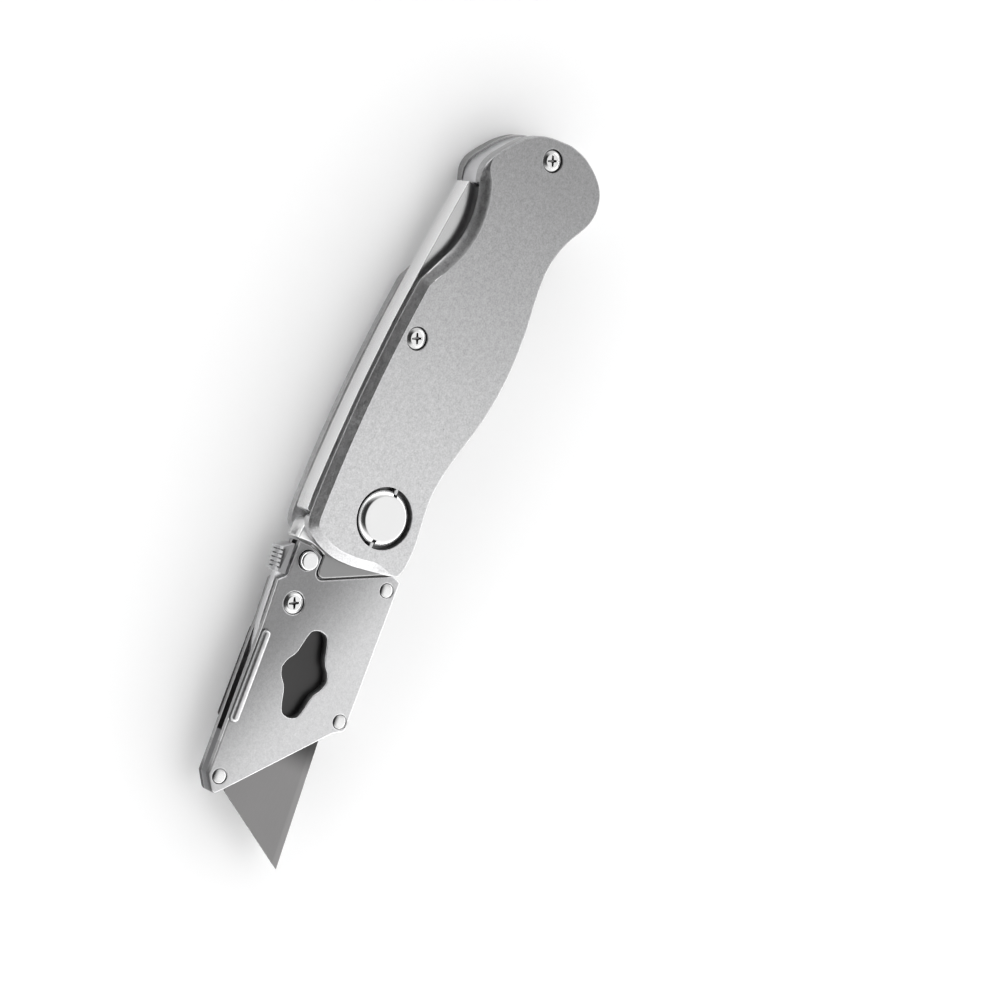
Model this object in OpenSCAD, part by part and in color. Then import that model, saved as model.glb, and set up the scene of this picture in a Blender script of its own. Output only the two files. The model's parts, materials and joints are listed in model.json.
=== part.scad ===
// Folding lock-back utility knife with a quick-change blade, drawn open.
// The origin is on the fold pivot, at the outer face of the back scale. +X runs along the
// handle to the blade, +Y to the cutting-edge side, and +Z out of the front scale.

/* [Handle] */
// Distance from the fold pivot to the tail end of the handle
handle_reach = 95; // [95:1:116]
// Thickness of one scale
scale_t = 3.3; // [2.7:0.1:4.2]
// Space between the two scales
scale_gap = 5.8; // [5.4:0.1:7.2]
// Greatest distance from the pivot to the curved spine of the scales
spine_y = 18; // [17.7:0.1:18.6]
// Width of the bevel along the spine, the thumb scoop and the front end of a scale
bevel_w = 2.1; // [0.5:0.1:2.6]
// Depth of that bevel
bevel_h = 1.3; // [0.2:0.1:1.5]
// Height of the lip between that bevel and the relief beside the lock bar
lip_h = 0.6; // [0.4:0.1:0.8]
// Width of the relief beside the lock bar
relief_w = 1.5; // [0.5:0.1:1.8]

/* [Fold pivot] */
// Radius of the pivot barrel, on which the tang turns
barrel_r = 3.2; // [2.5:0.1:4]
// Radius of the barrel's round head
barrel_head_r = 6.4; // [5.5:0.1:6.8]
// Height of the barrel's head above the front scale
barrel_head_proud = 0.4; // [0:0.1:0.8]
// Depth of the head's seat in the front scale
barrel_seat_h = 2; // [1.2:0.1:2.1]
// Open ring around the barrel's head
head_ring = 0.7; // [0.1:0.1:1]
// Width of the keys that stop the barrel from turning
barrel_key_w = 0.8; // [0.5:0.1:1.5]
// Thickness of the washers beside the tang
washer_t = 0.25; // [0.1:0.05:0.5]
// Radius of the pivot screw's head, at the back
pivot_screw_head_r = 4.6; // [4.1:0.1:6]
// Radius of the pivot screw's shank
pivot_screw_r = 1.6; // [1.2:0.1:2]

/* [Scale screws] */
// Radius of the screw heads
screw_head_r = 2.4; // [2:0.1:3]
// Height of the screw heads
screw_head_h = 1.4; // [1:0.1:1.6]
// Radius of the screw shanks
screw_r = 1.25; // [1:0.05:1.5]
// Distance from the fold pivot to the tail screw
tail_screw_x = 89.6; // [88.6:0.1:90.5]

/* [Lock] */
// Distance along the handle from the fold pivot to the lock bar's pivot
lock_pivot_x = 38.8; // [34:0.2:46]
// Distance of the lock bar's pivot from the handle's long axis
lock_pivot_y = 12; // [11.9:0.1:12.6]
// Reach of the lock bar in front of the fold pivot
lock_front_x = 5.9; // [5:0.1:6]
// Radius of the tang's round heel
heel_r = 10.4; // [9:0.1:10.6]
// Thickness of the lock bar's leaf spring
lock_spring_t = 0.5; // [0.3:0.05:0.8]

/* [Blade] */
// Length of the blade along its cutting edge
blade_len = 61; // [55:0.5:61]
// Width of the blade, from the edge to the back
blade_w = 19; // [17:0.5:19.2]
// Thickness of the blade
blade_t = 0.6; // [0.4:0.05:0.8]
// Angle of the blade's slanted ends
blade_end_angle = 53.7; // [50:0.1:60]
// Distance from the fold pivot to the blade's point, along the carrier
blade_reach = 81.7; // [78:0.1:82]
// Height of the blade's point below the carrier's long axis
blade_drop = 9.2; // [8.6:0.1:9.4]
// Tilt of the cutting edge in the carrier
blade_tilt = 2.6; // [2:0.1:3]

/* [Carrier] */
// Angle between the handle and the open carrier
carrier_set = 5.3; // [3:0.1:6]
// Thickness of one carrier plate
plate_t = 1.5; // [1.2:0.05:1.7]
// Seam between the tang and the plates
seam = 0.4; // [0.2:0.05:0.6]
// Radius of the rivet heads
rivet_head_r = 1.6; // [1.3:0.1:1.8]
// Radius of the rivet shanks
rivet_r = 1.1; // [0.8:0.05:1.2]
// Radius of the thumb stud
stud_r = 2.2; // [1.8:0.1:2.4]
// Height of the thumb stud above each plate
stud_proud = 1.2; // [0.6:0.1:1.5]
// Height of the raised rib on each plate
rib_proud = 1.2; // [0.3:0.1:1.2]

/* [Release lever] */
// Radius of the lever screw's head
lever_screw_head_r = 2.5; // [2.2:0.1:2.7]
// Radius of the lever screw's shank
lever_screw_r = 1.2; // [1:0.05:1.3]
// Radius of the bush that the lever turns on
lever_bush_r = 1.9; // [1.7:0.05:2.2]
// Depth of the grooves across the thumb pad
groove_h = 0.5; // [0.2:0.1:0.7]
// Distance between those grooves
groove_pitch = 0.95; // [0.8:0.05:1.1]
// Thickness of the spring catch that holds the blade
catch_t = 0.5; // [0.3:0.05:0.6]

/* [Hidden] */
$fn = 64;
// Radial clearance of every shank and pin in its hole
fit_gap = 0.05;
// Side clearance of parts that slide between others
side_gap = 0.1;
// Clearance between parts that pass each other
pass_gap = 0.2;
// Extra length of a cut, so that it breaks through
over = 1;
// Levels of the stack: scales, gap, tang, plates and core
z_back_in = scale_t;
z_front_in = scale_t + scale_gap;
total_t = 2 * scale_t + scale_gap;
z_mid = total_t / 2;
carrier_t = scale_gap - 2 * (washer_t + fit_gap);
core_t = carrier_t - 2 * plate_t;
lever_t = core_t - 2 * side_gap;
blade_slot = blade_t + side_gap;
bed_h = (core_t - blade_slot) / 2;
z_carrier_back = z_mid - carrier_t / 2;
z_carrier_front = z_mid + carrier_t / 2;
// Lengthwise stretch of the handle's outline against its nominal reach
stretch = handle_reach / 95;
relief_h = scale_t - bevel_h - lip_h;
bevel_over = 3;
lock_pivot = [-lock_pivot_x, -lock_pivot_y];
tail_screw = [-tail_screw_x * stretch, 0.2];
// Radius of the lock bar round its pivot: it ends where the closed carrier passes
lock_hub_r = lock_pivot_y - 8.95;
// Radius of the sleeve that the lock bar turns on
sleeve_r = screw_r + 0.65;
// Height of the lock bar's straight underside behind its pivot
lock_under_y = -10.5;
lock_rear_x = -76.3 * stretch;
// Top of the lock bar at its rear end, which stands a little proud of the tail
lock_rear_y = -15.2;
// Centre and radius of the front end of the scales, where the bevel runs round
nose_c = [-5.2, -5.5];
nose_r = 18.1;
// Centre and radius of the slightly crowned spine
spine_r = 378;
spine_c = [-23, spine_r - spine_y];
// Centre and radius of the thumb scoop, and how far round it the outline goes each way
scoop_r = 21;
scoop_c = [-67.5 * stretch, -32.75];
scoop_turn = 22.8;
scoop_rear_turn = 25;
// Ends of the straight slope between the spine and the scoop
slope_low = scoop_c + scoop_r * [sin(scoop_turn), cos(scoop_turn)];
slope_run = 8.4;
slope_top = spine_at(slope_low[0] + slope_run);
// Front ends of the spine curve and of the relief beside the lock bar
spine_front_x = 6;
relief_front_x = 7;
relief_high_y = -7.2;
// Where the front end's round bevel gives way to the straight one, and that one's two ends
nose_cut = [7.5, -3];
front_bevel = [[12.9, -3], [10.9, 7.5]];
// Span of a cutting box that is larger than the knife
cut_span = 60;
spine_cut = [9, -5];
// Broken edge of the screw heads, gap round them, and the barrel keys' root and drop
head_edge = 0.25;
head_gap = 0.3;
key_root = 0.5;
key_drop = 0.3;
// Places of the carrier's fasteners, in the carrier's own frame
rear_rivet = [14.7, 9.3];
edge_rivet = [45.9, 9.8];
nose_rivet = [65.8, -14.2];
stud_at = [14.7, -12.5];
lever_pivot = [24.6, -12];
// Turn and slot width of the cross recesses
cross_turn = 27;
cross_w = 0.6;
// Height of the screw tips above the back face, and of the pivot screw's head
screw_tip_z = 0.6;
pivot_head_h = 1.5;
// Heads of the carrier's fasteners
rivet_head_h = 0.7;
rivet_proud = 0.12;
stud_shank_r = 1.4;
stud_seat_h = 0.3;
lever_head_h = 1.2;
lever_head_proud = 0.2;
// Hub of the lever, and the coil spring that lifts it
lever_hub_r = lever_bush_r + 1.3;
lever_under_y = -13.5;
lever_spring_x = 19.3;
lever_spring_r = lever_t / 2 - 0.05;
lever_spring_floor = -7.5;
// The blade, in the carrier's own frame
edge_dir = [cos(blade_tilt), sin(blade_tilt)];
back_dir = [sin(blade_tilt), -cos(blade_tilt)];
end_run = blade_w / tan(blade_end_angle);
front_tip = [blade_reach, blade_drop];
rear_tip = front_tip - blade_len * edge_dir;
back_rear = rear_tip + end_run * edge_dir + blade_w * back_dir;
back_front = front_tip - end_run * edge_dir + blade_w * back_dir;
notch_spacing = 9;
notch_mouth = 3.6;
notch_floor = 2.6;
notch_depth = 2.8;
back_middle = (back_rear + back_front) / 2;
swing_r = norm(front_tip) + 1;

// ---- outlines and helpers ----

// Points on an arc
function arc(c, r, a0, a1, n = 10) =
    [for (i = [0:n]) let (a = a0 + (a1 - a0) * i / n) c + r * [cos(a), sin(a)]];

// One point of a smooth curve that passes through b and c
function through(a, b, c, d, t) =
    0.5 * (2 * b + t * (c - a) + t * t * (2 * a - 5 * b + 4 * c - d)
           + t * t * t * (3 * b - a - 3 * c + d));

// A smooth open curve through all the points of a list
function smooth(p, n = 5) = let (last = len(p) - 1) concat(
    [for (i = [0:last - 1], k = [0:n - 1])
        through(p[max(i - 1, 0)], p[i], p[i + 1], p[min(i + 2, last)], k / n)],
    [p[last]]);

// The two sides of a strip of thickness t that follows a line of points
function side(p, i) =
    let (v = p[min(i + 1, len(p) - 1)] - p[max(i - 1, 0)]) [-v[1], v[0]] / norm(v);
function strip(p, t) = concat(
    [for (i = [0:len(p) - 1]) p[i] + side(p, i) * t / 2],
    [for (i = [len(p) - 1:-1:0]) p[i] - side(p, i) * t / 2]);

// Point of the spine at a place x along it
function spine_at(x) = [x, spine_c[1] - sqrt(spine_r * spine_r - (x - spine_c[0]) ^ 2)];

// Stretches the handle behind the pivot
function along(p) = [for (q = p) [q[0] < 0 ? q[0] * stretch : q[0], q[1]]];

// Edge side of the handle, from the tail to the front corner
edge_side = [[-95, 3], [-94.4, 7.5], [-92.3, 12], [-89.3, 15.2], [-85.3, 16.5], [-81.2, 15.9],
             [-75.6, 13.1], [-71, 11.6], [-66.5, 11.1], [-60, 11.7], [-52, 13], [-41.5, 13.6],
             [-31, 12.7], [-22, 10.7], [-14.5, 9.1], [-8.5, 8.75], [-3, 9.5], [3, 10.4],
             [8, 10.3], [10.3, 9.4]];
// Front end, between that corner and the round upper part
front_side = [[10.3, 9.4], [11.4, 5.5], [12.4, 0.5], nose_c + [nose_r, 0]];
// Round corner between the front end and the spine
front_corner = [[9.3, -16], [8.3, -16.5], [7, -16.75]];
// Tail, from the scoop round to the edge side
tail_side = [[-78, -14.4], [-80, -14.8], [-82.5, -14.3], [-85.5, -12.6], [-90.2, -9],
             [-93.5, -4.3], [-95, 3]];

spine_steps = 24;
module scale_outline() {
    polygon(along(concat(
        smooth(edge_side),
        smooth(front_side),
        arc(nose_c, nose_r, 0, -33),
        front_corner,
        [for (i = [0:spine_steps])
            let (p = spine_at(spine_front_x
                              + (slope_top[0] - spine_front_x) * i / spine_steps))
                [p[0] < 0 ? p[0] / stretch : p[0], p[1]]],
        // The scoop's points are placed already, so they are not stretched again
        [for (p = arc(scoop_c, scoop_r, 90 - scoop_turn, 90 + scoop_rear_turn))
            [p[0] / stretch, p[1]]],
        smooth(tail_side))));
}

// Rounded front corner of the plates and of the block between them
nose_corner = concat([[68.4, -12.2]], arc([68.75, -14.05], 0.95, 20, -62, 4), [[66, -17]]);
// Rear outline of the plates, from the spine to the edge side
plate_rear = concat([[11.3, -16], [11.3, -13.6], [11.8, -11.5], [12.8, -9.35]],
                    arc([16.3, -7.85], 1.5, -90, 22, 6), [[11.1, 9.6], [11.9, 11.9]]);
plate_outline_points = concat(plate_rear,
    [[47.5, 11.9], [49, 9]], nose_corner,
    [[56, -17.1], [30, -17.4], [20.9, -17.8], [19.3, -16]]);

module blade_outline() {
    polygon([rear_tip, front_tip, back_front, back_rear]);
}

// Window in the plates, the same in all four quarters
module window_outline() {
    quarter = [[10.2, 0], [9.6, 1.9], [7.7, 2.8], [4.1, 3.8], [1.9, 5.4], [0, 6.1]];
    around = smooth(quarter, 4);
    translate([38.6, -3])
    for (sx = [-1, 1], sy = [-1, 1])
        polygon(concat([[-sx * 0.01, -sy * 0.01], [sx * 10.2, -sy * 0.01]],
                       [for (p = around) [sx * p[0], sy * p[1]]], [[-sx * 0.01, sy * 6.1]]));
}

module layer(z0, t) {
    translate([0, 0, z0]) linear_extrude(t) children();
}

module centred(t) {
    layer(z_mid - t / 2, t) children();
}

module in_carrier() {
    rotate([0, 0, carrier_set]) children();
}

module bore(at, r, z0, z1) {
    translate([at[0], at[1], z0]) cylinder(r = r, h = z1 - z0);
}

// Cross recess, cut down from a head whose top is at z
module cross_recess(at, r, z, depth) {
    translate([at[0], at[1], z - depth])
    for (a = [cross_turn, cross_turn + 90])
        rotate([0, 0, a]) translate([-r, -cross_w / 2, 0]) cube([2 * r, cross_w, depth + over]);
}

// Screw with a low cylindrical head whose top is at z
module screw(at, head_r, head_h, shank_r, z, length) {
    difference() {
        union() {
            bore(at, head_r - head_edge, z - head_edge, z);
            bore(at, head_r, z - head_h, z - head_edge);
            bore(at, shank_r, z - head_h - length, z - head_h);
        }
        cross_recess(at, head_r * 0.55, z, head_h * 0.55);
    }
}

// ---- handle ----

// Round bevel cut about c: outside of radius r on a crowned edge, inside of it in a hollow
module round_bevel(c, r, out) {
    way = out ? 1 : -1;
    translate([c[0], c[1], 0]) rotate_extrude($fn = out ? 720 : 180)
        polygon([[r - way * bevel_w, 0], [r + way * bevel_over, 0],
                 [r + way * bevel_over, -(bevel_w + bevel_over) * bevel_h / bevel_w]]);
}

// Straight bevel cut from a to b, with the scale on its left
module straight_bevel(a, b) {
    run = b - a;
    translate([a[0], a[1], 0]) rotate([0, 0, atan2(run[1], run[0])]) rotate([90, 0, 90])
        translate([0, 0, -over]) linear_extrude(norm(run) + 2 * over)
        polygon([[bevel_w, 0], [-bevel_over, 0],
                 [-bevel_over, -(bevel_w + bevel_over) * bevel_h / bevel_w]]);
}

// Bevel cut along the spine, the scoop and the front end, for a face at height z, up or down
module bevel_cut(z, up) {
    translate([0, 0, z]) mirror([0, 0, up ? 0 : 1]) {
        intersection() {
            round_bevel(nose_c, nose_r, true);
            translate([nose_cut[0], nose_cut[1] - cut_span, -cut_span / 2]) cube(cut_span);
        }
        straight_bevel(front_bevel[0], front_bevel[1]);
        straight_bevel(slope_low, slope_top);
        intersection() {
            round_bevel(spine_c, spine_r, true);
            translate([slope_top[0], spine_cut[1] - cut_span, -cut_span / 2])
                cube([spine_cut[0] - slope_top[0], cut_span, cut_span]);
        }
        intersection() {
            round_bevel(scoop_c, scoop_r, false);
            translate([-handle_reach, -cut_span, -cut_span / 2])
                cube([handle_reach + slope_low[0], cut_span, cut_span]);
        }
    }
}

// Relief along the inner edge of the front scale, beside the lock bar
module relief_cut() {
    layer(z_front_in - over, relief_h + over) intersection() {
        difference() {
            translate([0, -relief_w]) scale_outline();
            translate([0, relief_w]) scale_outline();
        }
        translate([lock_rear_x, relief_high_y - cut_span])
            square([relief_front_x - lock_rear_x, cut_span]);
    }
}

module scale_blank(z0) {
    layer(z0, scale_t) scale_outline();
}

module front_scale() {
    z = total_t;
    seat_r = barrel_head_r + head_ring;
    color("silver") {
        difference() {
            scale_blank(z_front_in);
            bevel_cut(z, true);
            relief_cut();
            bore([0, 0], seat_r, z - barrel_seat_h, z + over);
            bore([0, 0], barrel_r + fit_gap, z_front_in - over, z);
            for (p = [tail_screw, lock_pivot]) {
                bore(p, screw_head_r + head_gap, z - screw_head_h, z + over);
                bore(p, screw_r + fit_gap, z_front_in - over, z);
            }
        }
        // The keys stand on the seat's wall and reach into the head's notches
        for (s = [-1, 1])
            translate([s * seat_r - (s > 0 ? head_ring + key_root : 0), -barrel_key_w / 2,
                       z - barrel_seat_h])
                cube([head_ring + key_root, barrel_key_w, barrel_seat_h - key_drop]);
    }
}

module back_scale() {
    z_seat = pivot_head_h + 0.1;
    color("silver")
    difference() {
        scale_blank(0);
        bevel_cut(0, false);
        bore([0, 0], pivot_screw_head_r + pass_gap, -over, z_seat);
        bore([0, 0], barrel_r + fit_gap, 0, z_back_in + over);
        for (p = [tail_screw, lock_pivot])
            bore(p, screw_r + fit_gap, screw_tip_z - pass_gap, z_back_in + over);
    }
}

module tail_spacer() {
    inset = 0.4;
    color("gainsboro")
    difference() {
        layer(z_back_in, scale_gap)
        difference() {
            translate([inset, 0]) intersection() {
                scale_outline();
                translate([-2 * handle_reach, -14.9])
                    square([2 * handle_reach + lock_rear_x - 2 * inset, 40]);
                translate([0, 0.4]) scale_outline();
            }
            // Room for the point of the blade as it swings in
            intersection() {
                circle(r = swing_r, $fn = 128);
                translate([-2 * handle_reach, -7]) square([4 * handle_reach, 40]);
            }
        }
        bore(tail_screw, screw_r + fit_gap, z_back_in - over, z_front_in + over);
        layer(z_back_in - over, scale_gap + 2 * over)
            polygon(strip(lock_spring_line, lock_spring_t + 2 * fit_gap));
    }
}

// Two equal screws: one through the tail spacer, one through the lock bar's sleeve
module scale_screws() {
    color("white")
    for (p = [tail_screw, lock_pivot])
        screw(p, screw_head_r, screw_head_h, screw_r, total_t,
              total_t - screw_head_h - screw_tip_z);
}

module lock_sleeve() {
    color("lightgray")
    difference() {
        bore(lock_pivot, sleeve_r, z_back_in, z_front_in);
        bore(lock_pivot, screw_r + fit_gap, z_back_in - over, z_front_in + over);
    }
}

// Leaf spring: its rear end sits in the tail spacer, its front end presses on the lock bar
lock_spring_line = along(smooth(
    [[-80.8, -8.7], [-77, -8.7], [-72, -8.2], [-66.5, -8.3], [-62.5, -9.4],
     [-60.5, lock_under_y + lock_spring_t / 2], [-58.5, -9.5]], 4));
module lock_spring() {
    color("dimgray")
    centred(carrier_t - 1) polygon(strip(lock_spring_line, lock_spring_t));
}

// ---- fold pivot ----

module pivot_barrel() {
    top = total_t + barrel_head_proud;
    seat = total_t - barrel_seat_h;
    slope_h = 0.8;
    slope_w = 1.1;
    notch_w = 1.1;
    color("white")
    difference() {
        union() {
            bore([0, 0], barrel_r, pivot_head_h + 0.2, seat);
            bore([0, 0], barrel_head_r, seat, top - slope_h);
            translate([0, 0, top - slope_h])
                cylinder(r1 = barrel_head_r, r2 = barrel_head_r - slope_w, h = slope_h);
        }
        for (s = [-1, 1])
            translate([s * barrel_head_r - notch_w, -barrel_key_w / 2 - pass_gap, seat - over])
                cube([2 * notch_w, barrel_key_w + 2 * pass_gap, total_t]);
        bore([0, 0], pivot_screw_r + fit_gap, 0, seat - 1);
    }
}

module pivot_screw() {
    color("white")
    translate([0, 0, 0.1]) mirror([0, 0, 1])
        screw([0, 0], pivot_screw_head_r, pivot_head_h, pivot_screw_r, 0,
              total_t - barrel_seat_h - pivot_head_h - 1.5);
}

// One washer on each side of the tang
module pivot_washers() {
    color("peru")
    for (z = [z_back_in, z_front_in - washer_t])
        difference() {
            bore([0, 0], heel_r - 2.4, z, z + washer_t);
            bore([0, 0], barrel_r + fit_gap, z - over, z + over);
        }
}

// ---- lock bar ----

module lock_bar() {
    front = [lock_front_x, -16.7];
    outer = along([[lock_rear_x / stretch, lock_rear_y], [-63, -16.2], [-50, -17], [-38, -17.6],
                   [-20, -17.8], [0, -17.25], front]);
    under_front = -11.6;
    clear_r = heel_r + pass_gap;
    hook_rear = 1.5;
    color("whitesmoke")
    difference() {
        centred(carrier_t) difference() {
            union() {
                polygon(concat(smooth(outer, 4),
                    [[lock_front_x, -8], [hook_rear, -8], [hook_rear - 1.5, under_front],
                     [-lock_pivot_x + 5, under_front], [-lock_pivot_x - 5, lock_under_y],
                     [lock_rear_x + 0.6, lock_under_y], [lock_rear_x, lock_under_y - 0.8]]));
                translate(lock_pivot) circle(r = lock_hub_r);
            }
            circle(r = clear_r);
        }
        bore(lock_pivot, sleeve_r + fit_gap, 0, total_t);
    }
}

// ---- blade carrier ----

module tang() {
    // The thick part follows the plates' rear outline, one seam away
    front_line = [for (p = plate_rear) p + [-seam - 0.1, seam - 0.1]];
    n = len(front_line) - 1;
    corner = [7.6, -14.7];
    thick = concat([[0, 0], [5.3, -8], [5.9, corner[1]]],
                   arc(corner, 1.8, 190, 272, 6), [[front_line[0][0], -16.9]],
                   [for (i = [0:n - 1]) front_line[i]],
                   [[front_line[n - 1][0], heel_r], [0, heel_r]]);
    end_n = [-sin(blade_end_angle - blade_tilt), -cos(blade_end_angle - blade_tilt)];
    stop_a = rear_tip + pass_gap * end_n;
    stop_b = back_rear + pass_gap * end_n;
    core_top = -9.5;
    stop_top = stop_a + (stop_b - stop_a) * (stop_a[1] - core_top) / (stop_a[1] - stop_b[1]);
    core = concat([[5.5, -7], [12.2, -13], [17, core_top], stop_top, stop_a],
                  [[rear_tip[0], 11.7], [12.2, 11.7], [11.2, 9.8], [5, 9]]);
    in_carrier() color("lightgray")
    difference() {
        union() {
            centred(carrier_t) {
                circle(r = heel_r);
                polygon(thick);
            }
            centred(core_t) difference() {
                union() {
                    polygon(core);
                    translate(stud_at) circle(r = stud_r + 0.5);
                }
                translate(lever_pivot) circle(r = lever_hub_r + 2 * pass_gap);
                translate([lever_spring_x - lever_spring_r - side_gap, lever_spring_floor])
                    mirror([0, 1]) square([2 * (lever_spring_r + side_gap), 5]);
            }
        }
        bore([0, 0], barrel_r + fit_gap, 0, total_t);
        bore(stud_at, stud_shank_r + fit_gap, 0, total_t);
        bore(rear_rivet, rivet_r + fit_gap, 0, total_t);
    }
}

// Bed that carries the blade, left out along the back where the catch works
module bed_outline() {
    difference() {
        intersection() {
            blade_outline();
            polygon(plate_outline_points);
        }
        polygon([back_rear - 5 * edge_dir - 3 * back_dir, back_front + 5 * edge_dir - 3 * back_dir,
                 back_front + 5 * edge_dir + back_dir, back_rear - 5 * edge_dir + back_dir]);
    }
}

// One plate, drawn as the front one
module plate() {
    z = z_carrier_front;
    rib_r = 1.25;
    rib_y = -16.05;
    rib_x0 = 31.9 + rib_r;
    rib_x1 = 53.8 - rib_r;
    difference() {
        union() {
            layer(z - plate_t, plate_t) polygon(plate_outline_points);
            layer(z - plate_t - bed_h, bed_h) bed_outline();
            // The rib has a rounded top with round ends
            intersection() {
                translate([0, 0, z + rib_proud - rib_r]) {
                    translate([rib_x0, rib_y, 0]) rotate([0, 90, 0])
                        cylinder(r = rib_r, h = rib_x1 - rib_x0);
                    for (x = [rib_x0, rib_x1])
                        translate([x, rib_y, 0]) sphere(r = rib_r);
                }
                translate([rib_x0 - 5, rib_y - 5, z - plate_t / 2]) cube([40, 10, 9]);
            }
        }
        layer(z - plate_t - bed_h - over, plate_t + bed_h + 2 * over) window_outline();
        for (p = [rear_rivet, edge_rivet, nose_rivet]) {
            bore(p, rivet_r + fit_gap, 0, z + over);
            bore(p, rivet_head_r + side_gap, z - rivet_head_h, z + over);
        }
        bore(stud_at, stud_shank_r + fit_gap, 0, z + over);
        bore(stud_at, stud_r + side_gap, z - stud_seat_h, z + over);
        bore(lever_pivot, lever_screw_r + fit_gap, 0, z + over);
    }
}

module front_plate() {
    color("darkgray") in_carrier()
    difference() {
        plate();
        bore(lever_pivot, lever_screw_head_r + side_gap,
             z_carrier_front + lever_head_proud - lever_head_h, total_t);
    }
}

module back_plate() {
    color("darkgray") in_carrier()
        translate([0, 0, 2 * z_mid]) mirror([0, 0, 1]) plate();
}

// Strip between the plates beside the cutting edge
module edge_spacer() {
    lift = pass_gap * [-edge_dir[1], edge_dir[0]];
    near = rear_tip + 0.4 * edge_dir + lift;
    far = near + 27.4 * edge_dir;
    color("gray") in_carrier()
    difference() {
        centred(core_t)
            polygon([near, far, [48.7, 9.1], [47.4, 11.7], [near[0], 11.7]]);
        bore(edge_rivet, rivet_r + fit_gap, 0, total_t);
    }
}

// Block between the plates at the nose
module nose_spacer() {
    rear = 56;
    lift = 0.35 * back_dir;
    low_front = back_front - 1.9 * edge_dir + lift;
    low_rear = low_front - (low_front[0] - rear) * edge_dir;
    color("silver") in_carrier()
    difference() {
        centred(core_t)
            polygon(concat([low_rear, low_front], nose_corner, [[rear, -17.1]]));
        bore(nose_rivet, rivet_r + fit_gap, 0, total_t);
    }
}

module rivet(at) {
    low = z_carrier_back - rivet_proud;
    high = z_carrier_front + rivet_proud;
    bore(at, rivet_r, low, high);
    bore(at, rivet_head_r, low, z_carrier_back + rivet_head_h);
    bore(at, rivet_head_r, z_carrier_front - rivet_head_h, high);
}

module carrier_rivets() {
    color("white") in_carrier()
        for (p = [rear_rivet, edge_rivet, nose_rivet]) rivet(p);
}

// Head of the stud, with its lower face at z
module stud_head(z) {
    edge = 0.35;
    high = stud_seat_h + stud_proud;
    bore(stud_at, stud_r, z, z + high - edge);
    translate([stud_at[0], stud_at[1], z + high - edge])
        cylinder(r1 = stud_r, r2 = stud_r - edge, h = edge);
}

module thumb_stud() {
    seat = z_carrier_front - stud_seat_h;
    color("white") in_carrier() {
        stud_head(seat);
        bore(stud_at, stud_shank_r, z_mid, seat);
    }
}

// Rear half of the stud, with a spigot that meets the front half's shank
module stud_nut() {
    seat = z_carrier_front - stud_seat_h;
    color("white") in_carrier()
        translate([0, 0, 2 * z_mid]) mirror([0, 0, 1]) {
            stud_head(seat);
            bore(stud_at, stud_shank_r, z_mid, seat);
        }
}

module lever_screw() {
    top = z_carrier_front + lever_head_proud;
    color("white") in_carrier()
        screw(lever_pivot, lever_screw_head_r, lever_head_h, lever_screw_r, top,
              top - lever_head_h - z_carrier_back - 0.2);
}

module lever_bush() {
    color("goldenrod") in_carrier()
    difference() {
        bore(lever_pivot, lever_bush_r, z_mid - core_t / 2, z_mid + core_t / 2);
        bore(lever_pivot, lever_screw_r + fit_gap, 0, total_t);
    }
}

// Coil spring, as its outer shape: it stands in the tang and lifts the lever
module lever_spring() {
    wire_d = 0.35;
    color("dimgray") in_carrier()
    translate([lever_spring_x, lever_spring_floor, z_mid]) rotate([90, 0, 0])
    difference() {
        cylinder(r = lever_spring_r, h = lever_spring_floor - lever_under_y);
        translate([0, 0, -over])
            cylinder(r = lever_spring_r - wire_d, h = lever_spring_floor - lever_under_y + 2 * over);
    }
}

// ---- release lever ----

catch_line = [[33.2, -13.9], [36.8, -13.9], [38.6, -12.75], [45.5, -12.75], [46.8, -10.7],
              [48.3, -10.7], [49.6, -12.75], [50.8, -12.75]];
module release_lever() {
    pad = [[12.3, -17], [13.8, -19.4], [19.3, -18.7], [19.4, -16.8]];
    // A straight back under the pad, then the arm that runs along the spine
    arm = [[15, -17.5], [19.3, -18.2], [21.5, -18], [30, -17.6], [36, -16.9], [44, -15.2],
           [55.3, -14.2], [55.3, -13], [31, -13], [24.6, -11], [21.5, lever_under_y],
           [18, lever_under_y], [16.6, -16.9]];
    // First groove's middle, and the grooves' width
    groove_from = [14.6, -19.4];
    groove_w = 0.35;
    groove_drop = 0.12;
    color("lightgray") in_carrier()
    difference() {
        union() {
            centred(lever_t) {
                polygon(arm);
                translate(lever_pivot) circle(r = lever_hub_r);
            }
            centred(carrier_t) difference() {
                polygon(pad);
                for (i = [0:4])
                    translate(groove_from + i * [groove_pitch, groove_drop])
                        square([groove_w, 2 * groove_h], center = true);
            }
        }
        bore(lever_pivot, lever_bush_r + fit_gap, 0, total_t);
        layer(0, total_t) polygon(strip(catch_line, catch_t + 2 * fit_gap));
    }
}

// Spring catch: a leaf whose bend sits in a notch in the blade's back
module blade_catch() {
    color("dimgray") in_carrier()
        centred(lever_t - 0.3) polygon(strip(catch_line, catch_t));
}

// ---- blade ----

// One notch in the back, a number of spacings from the middle
module notch(place) {
    at = back_middle + place * notch_spacing * edge_dir;
    translate(at) rotate(blade_tilt)
        polygon([[-notch_mouth / 2, -over], [notch_mouth / 2, -over],
                 [notch_floor / 2, notch_depth], [-notch_floor / 2, notch_depth]]);
}

module utility_blade() {
    bevel_run = 1.6;
    color("gray") in_carrier()
    difference() {
        centred(blade_t) difference() {
            blade_outline();
            for (place = [-0.5, 0.5]) notch(place);
        }
        // Ground edge, on both sides
        for (s = [0, 1])
            translate([rear_tip[0], rear_tip[1], z_mid]) rotate([0, 0, blade_tilt])
            mirror([0, 0, s]) rotate([90, 0, 90]) linear_extrude(2 * blade_len, center = true)
                polygon([[-bevel_run, blade_t / 2], [0, 0.05], [over, 0.05],
                         [over, blade_t], [-bevel_run, blade_t]]);
    }
}

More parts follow.
